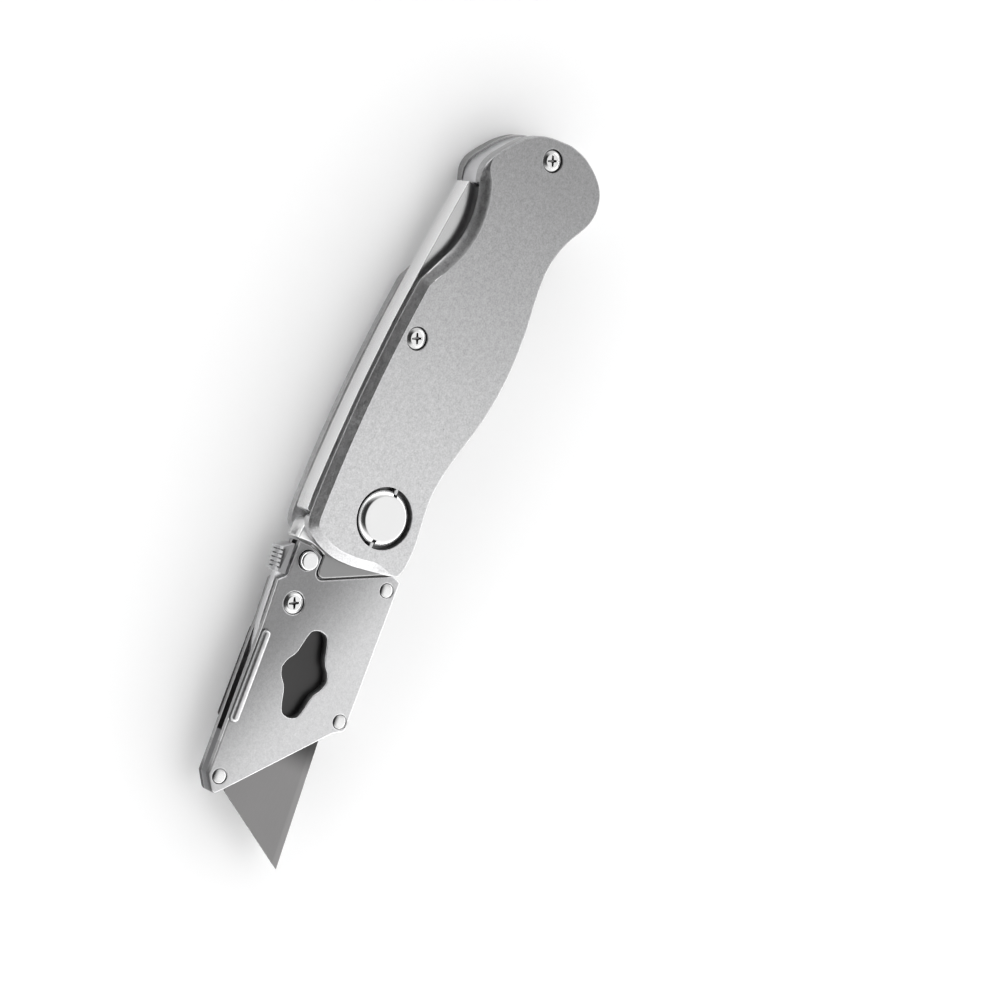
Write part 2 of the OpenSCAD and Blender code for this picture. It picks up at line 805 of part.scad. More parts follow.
front_scale();
back_scale();
tail_spacer();
scale_screws();
lock_sleeve();
lock_spring();
pivot_barrel();
pivot_screw();
pivot_washers();
lock_bar();
tang();
front_plate();
back_plate();
edge_spacer();
nose_spacer();
carrier_rivets();
thumb_stud();
stud_nut();
lever_screw();
lever_bush();
lever_spring();
release_lever();
blade_catch();
utility_blade();
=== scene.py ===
# %% [markdown]
# # A folding utility knife, piece by piece
# The knife has two metal scales, a lock bar along its spine, a steel tang, and a carrier of two
# pressed plates that holds a trapezoid blade. The sizes and the motion come from the CAD frame.
# Here every piece is made again with the small rounds, domes and grooves that machining and
# pressing leave, because those edges are what catches the light on bare metal.

# %% Load the frame
import json
import bpy
import numpy as np
from mathutils import Matrix, Vector
from mathutils.geometry import tessellate_polygon
from numpy.linalg import norm


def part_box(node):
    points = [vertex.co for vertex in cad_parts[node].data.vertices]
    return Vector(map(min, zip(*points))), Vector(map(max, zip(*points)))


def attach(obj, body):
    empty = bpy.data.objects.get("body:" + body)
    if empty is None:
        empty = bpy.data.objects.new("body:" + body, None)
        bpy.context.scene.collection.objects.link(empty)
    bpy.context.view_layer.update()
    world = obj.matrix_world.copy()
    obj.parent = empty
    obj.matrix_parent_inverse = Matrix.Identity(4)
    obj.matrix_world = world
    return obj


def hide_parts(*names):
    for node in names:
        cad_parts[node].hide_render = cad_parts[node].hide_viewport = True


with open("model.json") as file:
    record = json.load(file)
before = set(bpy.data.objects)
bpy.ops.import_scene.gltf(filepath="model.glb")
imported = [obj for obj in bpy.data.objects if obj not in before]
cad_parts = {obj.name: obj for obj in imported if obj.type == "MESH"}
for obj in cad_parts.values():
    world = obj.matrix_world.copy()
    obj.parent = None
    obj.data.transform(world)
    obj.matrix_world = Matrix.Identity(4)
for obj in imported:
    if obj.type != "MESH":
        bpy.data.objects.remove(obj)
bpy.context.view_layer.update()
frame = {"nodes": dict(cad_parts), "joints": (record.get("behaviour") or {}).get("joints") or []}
MM = 0.001
joint_at = {j["name"]: j for j in frame["joints"]}
z_back, z_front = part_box("back_scale")[0].z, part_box("front_scale")[1].z
z_middle = (z_back + z_front) / 2
print("knife", len(frame["nodes"]), "nodes, thickness", round((z_front - z_back) / MM, 2), "mm")

# %% [markdown]
# ## The camera
# The knife is seen from above its spine side, with the blade pointing down. A long lens keeps
# the two ends nearly the same scale. The camera is set by its place and by two of its own axes,
# since the view is rolled, which a look-at rule would not give.

# %% Camera
CAMERA_PLACE = Vector((0.0597, -0.32605, z_front + 0.5533))
LENS_MM, SENSOR_MM = 104.4, 36
view_right = Vector((-0.41812, 0.73965, 0.52734)).normalized()
view_up = Vector((-0.90107, -0.41125, -0.13762)).normalized()
camera = bpy.data.objects.new("camera", bpy.data.cameras.new("camera"))
bpy.context.scene.collection.objects.link(camera)
turn = Matrix((view_right, view_up, view_right.cross(view_up))).transposed().to_4x4()
turn.translation = CAMERA_PLACE
camera.matrix_world = turn
camera.data.lens = LENS_MM
camera.data.sensor_width = SENSOR_MM
bpy.context.scene.camera = camera
print("camera", [round(v, 3) for v in camera.location])

# %% [markdown]
# ## Reading an outline from the frame
# Almost every piece of a folding knife is cut from plate, so its outline says most of what it
# is. The CAD solid already holds that outline. A triangle that crosses a given height meets it
# along a short line; those lines, put end to end, are the outlines of the solid there. Reading
# them keeps every visible piece exactly where the moving model has it.

# %% Sections
WELD, FEWEST = 2e-7, 4   # ends this close (m) are one point; an outline has more points


def section(node, z):
    """Outlines of a CAD node at height z, the largest first, each counter-clockwise.
    A side from a to b crosses z at a + (b - a) * (z - a.z) / (b.z - a.z)."""
    mesh = frame["nodes"][node].data
    mesh.calc_loop_triangles()
    points = np.empty(len(mesh.vertices) * 3)
    mesh.vertices.foreach_get("co", points)
    corners = np.empty(len(mesh.loop_triangles) * 3, int)
    mesh.loop_triangles.foreach_get("vertices", corners)
    a = points.reshape(-1, 3)[corners].reshape(-1, 3, 3)
    b = np.roll(a, -1, axis=1)
    rise_a, rise_b = a[..., 2] - z, b[..., 2] - z
    crossing = (rise_a > 0) != (rise_b > 0)
    share = rise_a / np.where(crossing, rise_a - rise_b, 1)
    met = a + (b - a) * share[..., None]
    pairs = met[crossing][:, :2].reshape(-1, 2, 2)
    keys, place = np.unique(np.round(pairs.reshape(-1, 2) / WELD).astype(int), axis=0,
                            return_inverse=True)
    place = place.reshape(-1, 2)
    spot = np.zeros((len(keys), 2))
    spot[place.ravel()] = pairs.reshape(-1, 2)
    place = place[place[:, 0] != place[:, 1]]
    near = {}
    for i, j in place.tolist():
        near.setdefault(i, set()).add(j)
        near.setdefault(j, set()).add(i)
    loops = []
    while near:
        start = here = next(iter(near))
        chain = []
        while here in near:
            chain.append(here)
            ways = near.pop(here)
            ahead = [w for w in ways if w in near]
            here = ahead[0] if ahead else start
        if len(chain) > FEWEST:
            loops.append(spot[chain])
    signed = [np.sum(p[:, 0] * np.roll(p[:, 1], -1) - np.roll(p[:, 0], -1) * p[:, 1]) / 2
              for p in loops]
    loops = [p if s > 0 else p[::-1] for p, s in zip(loops, signed)]
    return [loops[i] for i in np.argsort([-abs(s) for s in signed])]


cut = section("front_scale", z_front - 1.5 * MM)
print("the front scale's section has", len(cut), "outlines")

# %% [markdown]
# ## Smoothing an outline
# The section is a chain of short straight lines. Laid out again at an even step along curves
# that pass through its points, it has no flats to show in a reflection. Real corners are kept,
# then eased a little, as deburring does: each point moves halfway to the middle of its
# neighbours, a few times over.

# %% Even outlines
def even(loop, step, ease=2, corner=28):
    """The closed outline with points a step apart. Between two given points it is the cubic
    through both, with each end's direction the mean of the lines that meet there, weighted by
    the cube of their lengths, or the line's own direction at a corner."""
    ahead = np.roll(loop, -1, 0) - loop
    size = norm(ahead, axis=1)
    way = ahead / size[:, None]
    before, size_before = np.roll(way, 1, 0), np.roll(size, 1)
    blend = way * size[:, None] ** 3 + before * size_before[:, None] ** 3
    blend /= norm(blend, axis=1)[:, None]
    sharp = np.sum(way * before, 1) < np.cos(np.radians(corner))
    leave = np.where(sharp[:, None], way, blend)
    arrive = np.roll(np.where(sharp[:, None], before, blend), -1, 0)
    along = np.concatenate([[0], np.cumsum(size)])
    count = max(int(np.ceil(along[-1] / step)), 12)
    at = np.unique(np.concatenate([np.arange(count) * along[-1] / count, along[:-1][sharp]]))
    crumb = step * 0.05
    at = at[np.diff(np.append(at, along[-1])) > crumb]
    i = np.clip(np.searchsorted(along, at, "right") - 1, 0, len(loop) - 1)
    t = ((at - along[i]) / size[i])[:, None]
    d = size[i][:, None]
    out = ((2 * t**3 - 3 * t**2 + 1) * loop[i] + (t**3 - 2 * t**2 + t) * d * leave[i]
           + (3 * t**2 - 2 * t**3) * np.roll(loop, -1, 0)[i] + (t**3 - t**2) * d * arrive[i])
    for _ in range(ease):
        out = (np.roll(out, 1, 0) + 2 * out + np.roll(out, -1, 0)) / 4
    return out


def outward(loop):
    """Unit vectors that point out of a counter-clockwise outline: its direction turned right."""
    way = np.roll(loop, -1, 0) - np.roll(loop, 1, 0)
    way /= norm(way, axis=1)[:, None]
    return np.stack([way[:, 1], -way[:, 0]], 1)


def circle(centre, radius, count=72):
    """A counter-clockwise round outline."""
    a = np.arange(count) * 2 * np.pi / count
    return np.asarray(centre)[:2] + radius * np.stack([np.cos(a), np.sin(a)], 1)


def at_height(loop, z):
    """A ring of points: the outline at one height, or at a height for each point."""
    return np.column_stack([loop, np.full(len(loop), z)])


def round_rings(centre, profile, count=72):
    """Rings of a turned profile: a circle for each radius and height."""
    return np.array([at_height(circle(centre, r, count), z) for r, z in profile])


def round_hole(loop):
    """Centre and radius of a round outline."""
    centre = (loop.max(0) + loop.min(0)) / 2
    return centre, norm(loop - centre, axis=1).mean()


def round_box(node):
    """Centre, radius, low z and high z of an upright round node, from its box."""
    low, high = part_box(node)
    return np.array([low.x + high.x, low.y + high.y]) / 2, (high.x - low.x) / 2, low.z, high.z


def ramp(x, low, high):
    """0 below low and 1 above high, with an even S between: t * t * (3 - 2 t)."""
    t = np.clip((x - low) / (high - low), 0, 1)
    return t * t * (3 - 2 * t)


print("a circle has", len(circle((0, 0), MM)), "points")

# %% [markdown]
# ## Walls, pockets and faces
# A plate part is its outline carried up through a profile: at each level the outline moves in
# by some amount. Where the profile turns the corner at the face, the inset follows a quarter
# circle, which is the broken edge of a real part. Holes are carried down the same way. The flat
# faces between are filled with triangles. Each point also carries a mark: above 0 near an edge,
# where the colour is lightened for edge wear and as a painted highlight, and below 0 in a recess,
# where the colour is darkened as painted shade. The rings that a flat face shares are marked 0,
# so that the face keeps its own finish.

# %% Shells
EDGE_REACH, EDGE_TURN = 0.45 * MM, 12   # a turn by more degrees is an edge; its mark's reach
# Hole walls below this depth get the recess mark, which darkens them as painted shade.
DEEP, RECESS_SHADE = 0.3 * MM, -0.9           # hole walls below this depth get this mark
HOLD = 0.04 * MM                        # the last ring lies this far into the flat face


def stack(loop, levels):
    """Rings of an outline: level k has the outline moved in by inset, at its height. An inset
    may be one number or one for each point."""
    normal = outward(loop)
    return np.array([at_height(loop - normal * np.broadcast_to(inset, len(loop))[:, None], z)
                     for inset, z in levels])


def quads(rings, start=0):
    """Four-sided faces between rings whose points are numbered from start."""
    k, n = rings.shape[:2]
    row, col = np.meshgrid(np.arange(k - 1), np.arange(n), indexing="ij")
    low, nxt = start + row * n, (col + 1) % n
    return np.stack([low + col, low + nxt, low + n + nxt, low + n + col],
                    -1).reshape(-1, 4).tolist()


def shell(outer, holes=(), pockets=(), flip=False):
    """Points, faces and marks of a solid. Outer rings go up, hole and pocket rings go down, and
    a pocket has a floor. A mark is 1 at a turn of the profile and falls to 0 beside it, for edge
    wear and a painted highlight; rings of the flat faces have 0, and the deep walls of holes and
    pockets have the recess mark, which paints shade there."""
    groups = [outer, *holes, *pockets]
    starts = np.cumsum([0] + [g.shape[0] * g.shape[1] for g in groups])
    points = np.concatenate([g.reshape(-1, 3) for g in groups])
    faces = []
    for g, start in zip(groups, starts):
        faces += quads(g, start)
    first = [np.arange(s, s + g.shape[1]) for g, s in zip(groups, starts)]
    last = [np.arange(e - g.shape[1], e) for g, e in zip(groups, starts[1:])]
    top = [last[0]] + first[1:]
    under = [first[0]] + last[1:1 + len(holes)]
    faces += cap(points, top, True) + cap(points, under, False)
    for floor in last[1 + len(holes):]:
        faces += cap(points, [floor], True)
    marks = np.concatenate([edge_marks(g) for g in groups])
    marks[np.concatenate(first + last)] = 0
    for begin, rings in zip(starts[1:], [*holes, *pockets]):
        fall = np.abs(rings[:, :, 2] - rings[0, 0, 2]).ravel()
        here = slice(begin, begin + len(fall))
        marks[here] = np.where(fall > DEEP, RECESS_SHADE, marks[here])
    if flip:
        faces = [f[::-1] for f in faces]
    return points, faces, marks


def cap(points, loops, up):
    """Triangles that fill the first loop less the others, all facing up or all facing down."""
    ids = np.concatenate(loops)
    tris = np.array(tessellate_polygon([[Vector(p) for p in points[l]] for l in loops]))
    tris = ids[tris]
    a, b, c = (points[tris[:, k], :2] for k in range(3))
    turn_sign = (b - a)[:, 0] * (c - a)[:, 1] - (b - a)[:, 1] * (c - a)[:, 0]
    wrong = (turn_sign > 0) != up
    tris[wrong] = tris[wrong][:, ::-1]
    return tris.tolist()


def edge_marks(rings):
    """How near each ring lies to a turn of its profile: 1 there, 0 from EDGE_REACH on."""
    path = rings.mean(1)
    spread = norm(rings - path[:, None], axis=2).mean(1)
    line = np.stack([spread, rings[:, :, 2].mean(1)], 1)
    step = np.diff(line, axis=0)
    size = np.maximum(norm(step, axis=1), 1e-9)
    along = np.concatenate([[0], np.cumsum(size)])
    way = step / size[:, None]
    turns = np.sum(way[1:] * way[:-1], 1) < np.cos(np.radians(EDGE_TURN))
    bend = np.concatenate([[True], turns, [True]])
    gap = np.abs(along[:, None] - along[bend][None]).min(1)
    return np.repeat(np.clip(1 - gap / EDGE_REACH, 0, 1), rings.shape[1])


def quarter(radius, count=4):
    """Inset and drop along a quarter round, from the wall to the face."""
    a = np.linspace(0, np.pi / 2, count + 1)
    return [(radius * (1 - np.cos(t)), radius * (1 - np.sin(t))) for t in a]


def slab_levels(z0, z1, low, high):
    """Levels of a plate from z0 to z1 with rounded edges of radius low and high. The last ring
    at each end lies flat in the face, so that the face's shading stays flat."""
    down = [(inset, z0 + drop) for inset, drop in quarter(low)][::-1]
    up = [(inset, z1 - drop) for inset, drop in quarter(high)]
    return [(low + HOLD, z0)] + down + up + [(high + HOLD, z1)]


def hole_levels(z1, z0, high, low):
    """Levels of a hole from z1 down to z0, with its mouths rounded."""
    down = [(-inset, z1 - drop) for inset, drop in quarter(high)][::-1]
    up = [(-inset, z0 + drop) for inset, drop in quarter(low)]
    return [(-high - HOLD, z1)] + down + up + [(-low - HOLD, z0)]


print("a plate edge of 0.3 mm has", len(quarter(0.3 * MM)), "levels")

# %% [markdown]
# ## Turned parts
# Screws, rivets, washers and the pivot barrel come off a lathe, so each is a profile of radius
# against height turned about its axis. A closed profile gives a ring such as a washer.

# %% Turned shells
def turned(centre, profile, count=72, closed=False):
    """Surface of revolution: point (k, i) is the centre plus radius k at angle i, height k.
    The profile runs up the outer side; an open one is closed by flat discs."""
    rings = round_rings(centre, profile, count)
    if not closed:
        return shell(rings)
    points, faces, marks = shell(np.concatenate([rings, rings[:1]]))
    total = len(profile) * count
    faces = [[v % total for v in f] for f in faces[:total]]
    return points[:total], faces, marks[:total]


def tube(r_out, r_in, z0, z1, soft=0.08 * MM):
    """Closed profile of a ring: outer wall up, inner wall down, with broken edges."""
    return [(r_out - soft, z0), (r_out, z0 + soft), (r_out, z1 - soft), (r_out - soft, z1),
            (r_in + soft, z1), (r_in, z1 - soft), (r_in, z0 + soft), (r_in + soft, z0)]


def over_back(part):
    """The same part turned half round the knife's long axis, so that it faces the back."""
    points, faces, marks = part
    return points * [1, -1, -1], faces, marks


print("a washer's profile has", len(tube(2 * MM, 1 * MM, 0, 1 * MM)), "corners")

# %% [markdown]
# ## Putting a piece into the scene
# One function puts the points into a mesh, marks it smooth except across real edges, gives it
# its finish, hangs it on the body it rides on, and hides the CAD node that it stands for.

# %% Make a piece
SHARP = np.radians(40)  # shading breaks where two faces meet at more than this


def piece(name, parts, finish, body, node):
    """One object from a list of (points, faces, marks), with every face pointing outwards."""
    starts = np.cumsum([0] + [len(p[0]) for p in parts])
    points = np.concatenate([p[0] for p in parts])
    faces = [[v + s for v in f] for p, s in zip(parts, starts) for f in p[1]]
    mesh = bpy.data.meshes.new(name)
    mesh.from_pydata(points.tolist(), [], faces)
    near_edge = mesh.attributes.new("edge", "FLOAT", "POINT")
    near_edge.data.foreach_set("value", np.concatenate([p[2] for p in parts]).astype(np.float32))
    mesh.validate()
    mesh.shade_smooth()
    mesh.set_sharp_from_angle(angle=SHARP)
    mesh.materials.append(finish)
    made = bpy.data.objects.new(name, mesh)
    bpy.context.scene.collection.objects.link(made)
    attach(made, body)
    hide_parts(node)
    print(f"{name}: {len(mesh.polygons)} faces")
    return made

# %% [markdown]
# ## Finishes
# Bare metal is told apart by its surface more than by its colour: bead blasting leaves fine
# pits, brushing leaves lines, tumbling leaves soft edges. Each effect is a node group that is
# built once, with named inputs. Every material feeds the groups' values and heights to its own
# Principled shader.

# %% Node helpers
def add(tree, kind, values, **settings):
    """A new node with its settings; its inputs are given plain values or linked to sockets.
    Returns its outputs."""
    node = tree.nodes.new(kind)
    for key, value in settings.items():
        setattr(node, key, value)
    for key, value in values.items():
        if isinstance(value, bpy.types.NodeSocket):
            tree.links.new(value, node.inputs[key])
        else:
            node.inputs[key].default_value = value
    return node.outputs


def calc(tree, kind, first, second, clamp=False):
    """The result of one Math node on two numbers or sockets."""
    return add(tree, "ShaderNodeMath", {0: first, 1: second}, operation=kind, use_clamp=clamp)[0]


def times(tree, first, second, clamp=False):
    """The product of two."""
    return calc(tree, "MULTIPLY", first, second, clamp)


def spot(tree, output="Object"):
    """Texture coordinates: by default the place on the object, in metres."""
    return add(tree, "ShaderNodeTexCoord", {})[output]


def noise(tree, scale, detail, rough=0.5, vector=None):
    """A noise pattern read at a vector, or else at the place on the object."""
    return add(tree, "ShaderNodeTexNoise", {
        "Vector": spot(tree) if vector is None else vector, "Scale": scale, "Detail": detail,
        "Roughness": rough})["Fac"]


def edge_mark(tree):
    """The mark that each point of a mesh carries."""
    return add(tree, "ShaderNodeAttribute", {}, attribute_name="edge")["Fac"]


def share_along(tree, vector, direction, low, high, first, last):
    """A share that goes smoothly from first to last while the vector's reach along the
    direction, their dot product, goes from low to high."""
    reach = add(tree, "ShaderNodeVectorMath", {0: vector, 1: direction}, operation="DOT_PRODUCT")
    return add(tree, "ShaderNodeMapRange", {
        "Value": reach["Value"], "From Min": low, "From Max": high, "To Min": first,
        "To Max": last}, interpolation_type="SMOOTHSTEP")["Result"]


def group(name, inputs, build):
    """A shader group with named float inputs. build(tree, inputs) gives its named outputs."""
    tree = bpy.data.node_groups.new(name, "ShaderNodeTree")
    for label, value in inputs.items():
        socket = tree.interface.new_socket(label, in_out="INPUT", socket_type="NodeSocketFloat")
        socket.default_value = value
    made = build(tree, tree.nodes.new("NodeGroupInput").outputs)
    for label in made:
        tree.interface.new_socket(label, in_out="OUTPUT", socket_type="NodeSocketFloat")
    add(tree, "NodeGroupOutput", made)
    return tree


print("node helpers ready")

# %% [markdown]
# ## Seven effects
# Pits, brushed lines, edge wear with painted highlight, painted shade in recesses, handling marks
# and a painted light-and-shade gradient each give one value. The seventh, the tone, says how they
# add up: the pattern moves colour and roughness a little, edge wear and painted highlight lighten
# and polish, painted shade darkens, the gradient scales the colour, and handling changes the
# roughness slowly.

# %% Node groups
# How far painted shade darkens the colour, and how handling, grain and edge wear move the
# roughness.
SHADE_DARK, DULL_SWING, GRAIN_SWING, WORN_POLISH = 0.9, 0.16, 0.4, 0.15


def blast(tree, given):
    """Pits of bead blasting: fine noise with a coarser one under it."""
    fine = noise(tree, given["Grain"], 3.0, 0.6)
    patch = noise(tree, given["Patch"], 2.0)
    return {"Grain": calc(tree, "ADD", times(tree, fine, 0.7), times(tree, patch, 0.3)),
            "Height": fine}


def brush(tree, given):
    """Brushed lines: noise that is drawn out along the piece, so it changes across it only."""
    split = add(tree, "ShaderNodeSeparateXYZ", {0: spot(tree)})
    drawn = {axis: times(tree, split[axis], given[label])
             for axis, label in enumerate(("Along", "Across", "Across"))}
    line = noise(tree, 1.0, 3.0, 0.6, add(tree, "ShaderNodeCombineXYZ", drawn)[0])
    return {"Line": line, "Height": line}


def wear_and_highlight(tree, given):
    """Edge wear and painted highlight: the mesh's mark above 1 - Width, broken up by noise; it
    lightens the colour.
    """
    over = calc(tree, "SUBTRACT", edge_mark(tree), calc(tree, "SUBTRACT", 1.0, given["Width"]))
    kept = calc(tree, "DIVIDE", over, given["Width"], clamp=True)
    rough = calc(tree, "ADD", noise(tree, given["Breakup"], 3.0), 0.4)
    return {"Wear": times(tree, kept, rough, clamp=True)}


def recess_shade(tree, given):
    """Painted shade in recesses and between parts: where the mesh's mark is negative, broken up
    by noise.
    """
    deep = times(tree, edge_mark(tree), -1.0, clamp=True)
    rough = calc(tree, "ADD", times(tree, noise(tree, given["Breakup"], 2.0), 0.3), 0.75)
    return {"Grime": times(tree, deep, rough, clamp=True)}


def handling(tree, given):
    """Handling marks: slow, soft patches where hands and bench have dulled the metal."""
    return {"Dull": noise(tree, given["Size"], 2.0)}


def painted_gradient(tree, given):
    """Painted light and shade: a share that rises from Least to 1 along the direction X, Y, Z,
    while the place's reach along it goes from Low to High; it scales the colour."""
    way = add(tree, "ShaderNodeCombineXYZ", {label: given[label] for label in "XYZ"})[0]
    return {"Share": share_along(tree, spot(tree), way, given["Low"], given["High"],
                                 given["Least"], 1.0)}


def tone(tree, given):
    """How the effects add up. With swing = 2 Spread (Pattern - 1/2), the level, which multiplies
    the colour, is (1 + swing) * Share * (1 - darkness * painted shade): Share is the painted
    light-and-shade gradient, and painted shade darkens recesses."""
    worn_and_lit = times(tree, given["Wear"], given["Polish_and_highlight"])
    swing = times(tree, calc(tree, "SUBTRACT", given["Pattern"], 0.5),
                  times(tree, given["Spread"], 2.0))
    unshaded = calc(tree, "SUBTRACT", 1.0, times(tree, given["Grime"], SHADE_DARK))
    level = times(tree, calc(tree, "ADD", swing, 1.0), given["Share"])
    dull = times(tree, calc(tree, "SUBTRACT", given["Dull"], 0.5), DULL_SWING)
    rough = calc(tree, "ADD", calc(tree, "ADD", dull, given["Rough"]),
                 times(tree, swing, GRAIN_SWING))
    rough = calc(tree, "SUBTRACT", rough, times(tree, worn_and_lit, WORN_POLISH), clamp=True)
    return {"Level": times(tree, level, unshaded), "Worn": worn_and_lit, "Roughness": rough}


GROUPS = {
    "blast": group("blast_grain", {"Grain": 3000.0, "Patch": 500.0}, blast),
    "brush": group("brushed_lines", {"Across": 9000.0, "Along": 60.0}, brush),
    "wear_and_highlight": group("edge_wear_and_highlight", {"Width": 0.5, "Breakup": 900.0}, wear_and_highlight),
    "recess_shade": group("painted_recess_shade", {"Breakup": 1500.0}, recess_shade),
    "handling": group("handling", {"Size": 45.0}, handling),
    "run": group("finish_run", dict.fromkeys(["X", "Y", "Z", "Low", "High", "Least"], 1.0),
                 painted_gradient),
    "tone": group("metal_tone", dict.fromkeys(["Pattern", "Spread", "Wear", "Polish_and_highlight", "Grime",
                                               "Dull", "Share", "Rough"], 0.5), tone)}
print("node groups", sorted(g.name for g in GROUPS.values()))

# %% [markdown]
# ## One recipe for bare metal
# All the metals share one recipe. What differs is the colour, how rough it is, which pattern it
# has and how coarse that is. The bumps are a twentieth of a millimetre at most, as blasting and
# brushing leave.

# %% Metal finishes
BUMP_HEIGHT = 0.05 * MM


def metal(name, colour, rough, pattern, strength, polish_and_highlight, spread=0.10, inputs=None, run=None):
    """A metal with the given base colour and roughness. The pattern changes the colour by the
    spread and bumps by the strength. A light run is (direction, low end, high end, least share):
    painted light and shade, the colour's share of itself along that direction."""
    material = bpy.data.materials.new(name)
    material.use_nodes = True
    tree = material.node_tree
    effect = lambda key, values: add(tree, "ShaderNodeGroup", values, node_tree=GROUPS[key])
    grain = effect(pattern, inputs or {})
    share = 1.0
    if run:
        direction, low, high, least = run
        share = effect("run", {**dict(zip("XYZ", direction)), "Low": low, "High": high,
                               "Least": least})["Share"]
    look = effect("tone", {
        "Pattern": grain[0], "Spread": spread, "Wear": effect("wear_and_highlight", {})["Wear"],
        "Polish_and_highlight": polish_and_highlight, "Grime": effect("recess_shade", {})["Grime"],
        "Dull": effect("handling", {})["Dull"], "Share": share, "Rough": rough})
    grey = add(tree, "ShaderNodeCombineColor", dict.fromkeys(range(3), look["Level"]))[0]
    tint = add(tree, "ShaderNodeMix", {"Factor": 1.0, "A": (*colour, 1), "B": grey},
               data_type="RGBA", blend_type="MULTIPLY")["Result"]
    # Edges and the rib's crest are lightened towards this colour: partly edge wear, partly
    # painted highlight.
    polished_highlight_colour = (*[min(1.0, c * 1.2 + 0.05) for c in colour], 1)
    bright = add(tree, "ShaderNodeMix", {"Factor": look["Worn"], "A": tint, "B": polished_highlight_colour},
                 data_type="RGBA")["Result"]
    bump = add(tree, "ShaderNodeBump", {"Strength": strength, "Distance": BUMP_HEIGHT,
                                        "Height": grain["Height"]})["Normal"]
    shader = tree.nodes["Principled BSDF"].inputs
    shader["Metallic"].default_value = 1.0
    tree.links.new(bright, shader["Base Color"])
    tree.links.new(look["Roughness"], shader["Roughness"])
    tree.links.new(bump, shader["Normal"])
    return material


# Painted light: the scales' colour falls to 0.46 of itself towards the rear, as a light falloff.
blasted = metal("blasted_aluminium", (0.52, 0.52, 0.525), 0.40, "blast", 0.6, 0.25, 0.62,
                {"Grain": 2600.0, "Patch": 900.0}, run=((1, 0, 0), -0.115, 0.016, 0.46))
# Painted light: the plates are darker towards the spine side, as a light falloff.
pressed = metal("pressed_stainless", (0.52, 0.52, 0.525), 0.40, "blast", 0.35, 0.6, 0.42,
                {"Grain": 3000.0, "Patch": 900.0}, run=((0.35, 0.94, 0), 0.000, 0.023, 0.40))
# Painted shade: the lock bar's upper face is darkened, as shade from the scale over it.
lock_metal = metal("ground_lock_steel", (0.88, 0.88, 0.88), 0.26, "brush", 0.15, 0.1, 0.05,
                   run=((0, 0, -1), -z_front + 3.45 * MM, -z_front + 3.8 * MM, 0.13))
# Painted shade: the tang is darker away from its spine-side shoulder, on its top.
tang_metal = metal("satin_tang_steel", (0.85, 0.85, 0.85), 0.36, "blast", 0.15, 0.2, 0.05,
                   {"Grain": 4000.0}, run=((0, -1, 0), 0.007, 0.013, 0.27))
bright_metal = metal("nickel_plate", (0.58, 0.58, 0.58), 0.20, "blast", 0.08, 0.2, 0.03)
# Painted shade: the lever's upper faces are darkened.
lever_metal = metal("satin_lever_steel", (0.70, 0.70, 0.71), 0.30, "brush", 0.15, 0.2, 0.05,
                    run=((0, 0, -1), -z_front + 3.62 * MM, -z_front + 3.8 * MM, 0.32))
# Painted shade: the blade is darker inside the carrier, which fills the plates' window with
# shade.
blade_metal = metal("ground_blade_steel", (0.20, 0.197, 0.197), 0.36, "brush", 0.12, 0.0, 0.05,
                    {"Along": 300.0, "Across": 3500.0}, run=((1, 0, 0), 0.052, 0.060, 0.27))
inner_metal = metal("plain_inner_steel", (0.16, 0.16, 0.165), 0.40, "blast", 0.2, 0.3, 0.08)
spacer_metal = metal("satin_spacer", (0.55, 0.55, 0.56), 0.35, "brush", 0.2, 0.3, 0.08)
spring_metal = metal("tempered_spring", (0.20, 0.20, 0.22), 0.32, "brush", 0.2, 0.3, 0.1)
bronze_metal = metal("bearing_bronze", (0.55, 0.39, 0.21), 0.35, "brush", 0.2, 0.3, 0.1)
print("finishes", len(bpy.data.materials))

# %% [markdown]
# ## The scales
# Each scale is milled from plate. A wide bevel runs along the spine, through the thumb scoop
# and round the front end; elsewhere the edge is only broken. Along the lock bar the inner edge
# of the front scale is cut back, which leaves the dark line beside the bar. A mesh bevel would
# treat all edges alike, so here the inset of each level depends on where the point lies on the
# outline.

# %% Scale profile
scale_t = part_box("front_scale")[1].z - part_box("front_scale")[0].z
BEVEL_W, BEVEL_H, RELIEF_W, RELIEF_H = 2.1 * MM, 1.3 * MM, 1.5 * MM, 1.75 * MM
BROKEN_EDGE = 0.28 * MM
LIP, CURL = 0.10, 0.12              # shares of the flat bevel that are eased at its ends
SCOOP_W, SCOOP_FALL = 1.3, 1.7      # in the scoop: width over BEVEL_W, and how the fall bends
TAIL_FADE, EDGE_FADE = (-0.0835, -0.0765), (0.003, 0.009)   # the bevel fades here, in x and y
SCOOP_FADE = (0.050, 0.062)         # distances behind the pivot
RELIEF_REAR, RELIEF_FRONT, SPINE_Y = (-0.0768, -0.0760), (-0.0072, -0.0064), -0.005


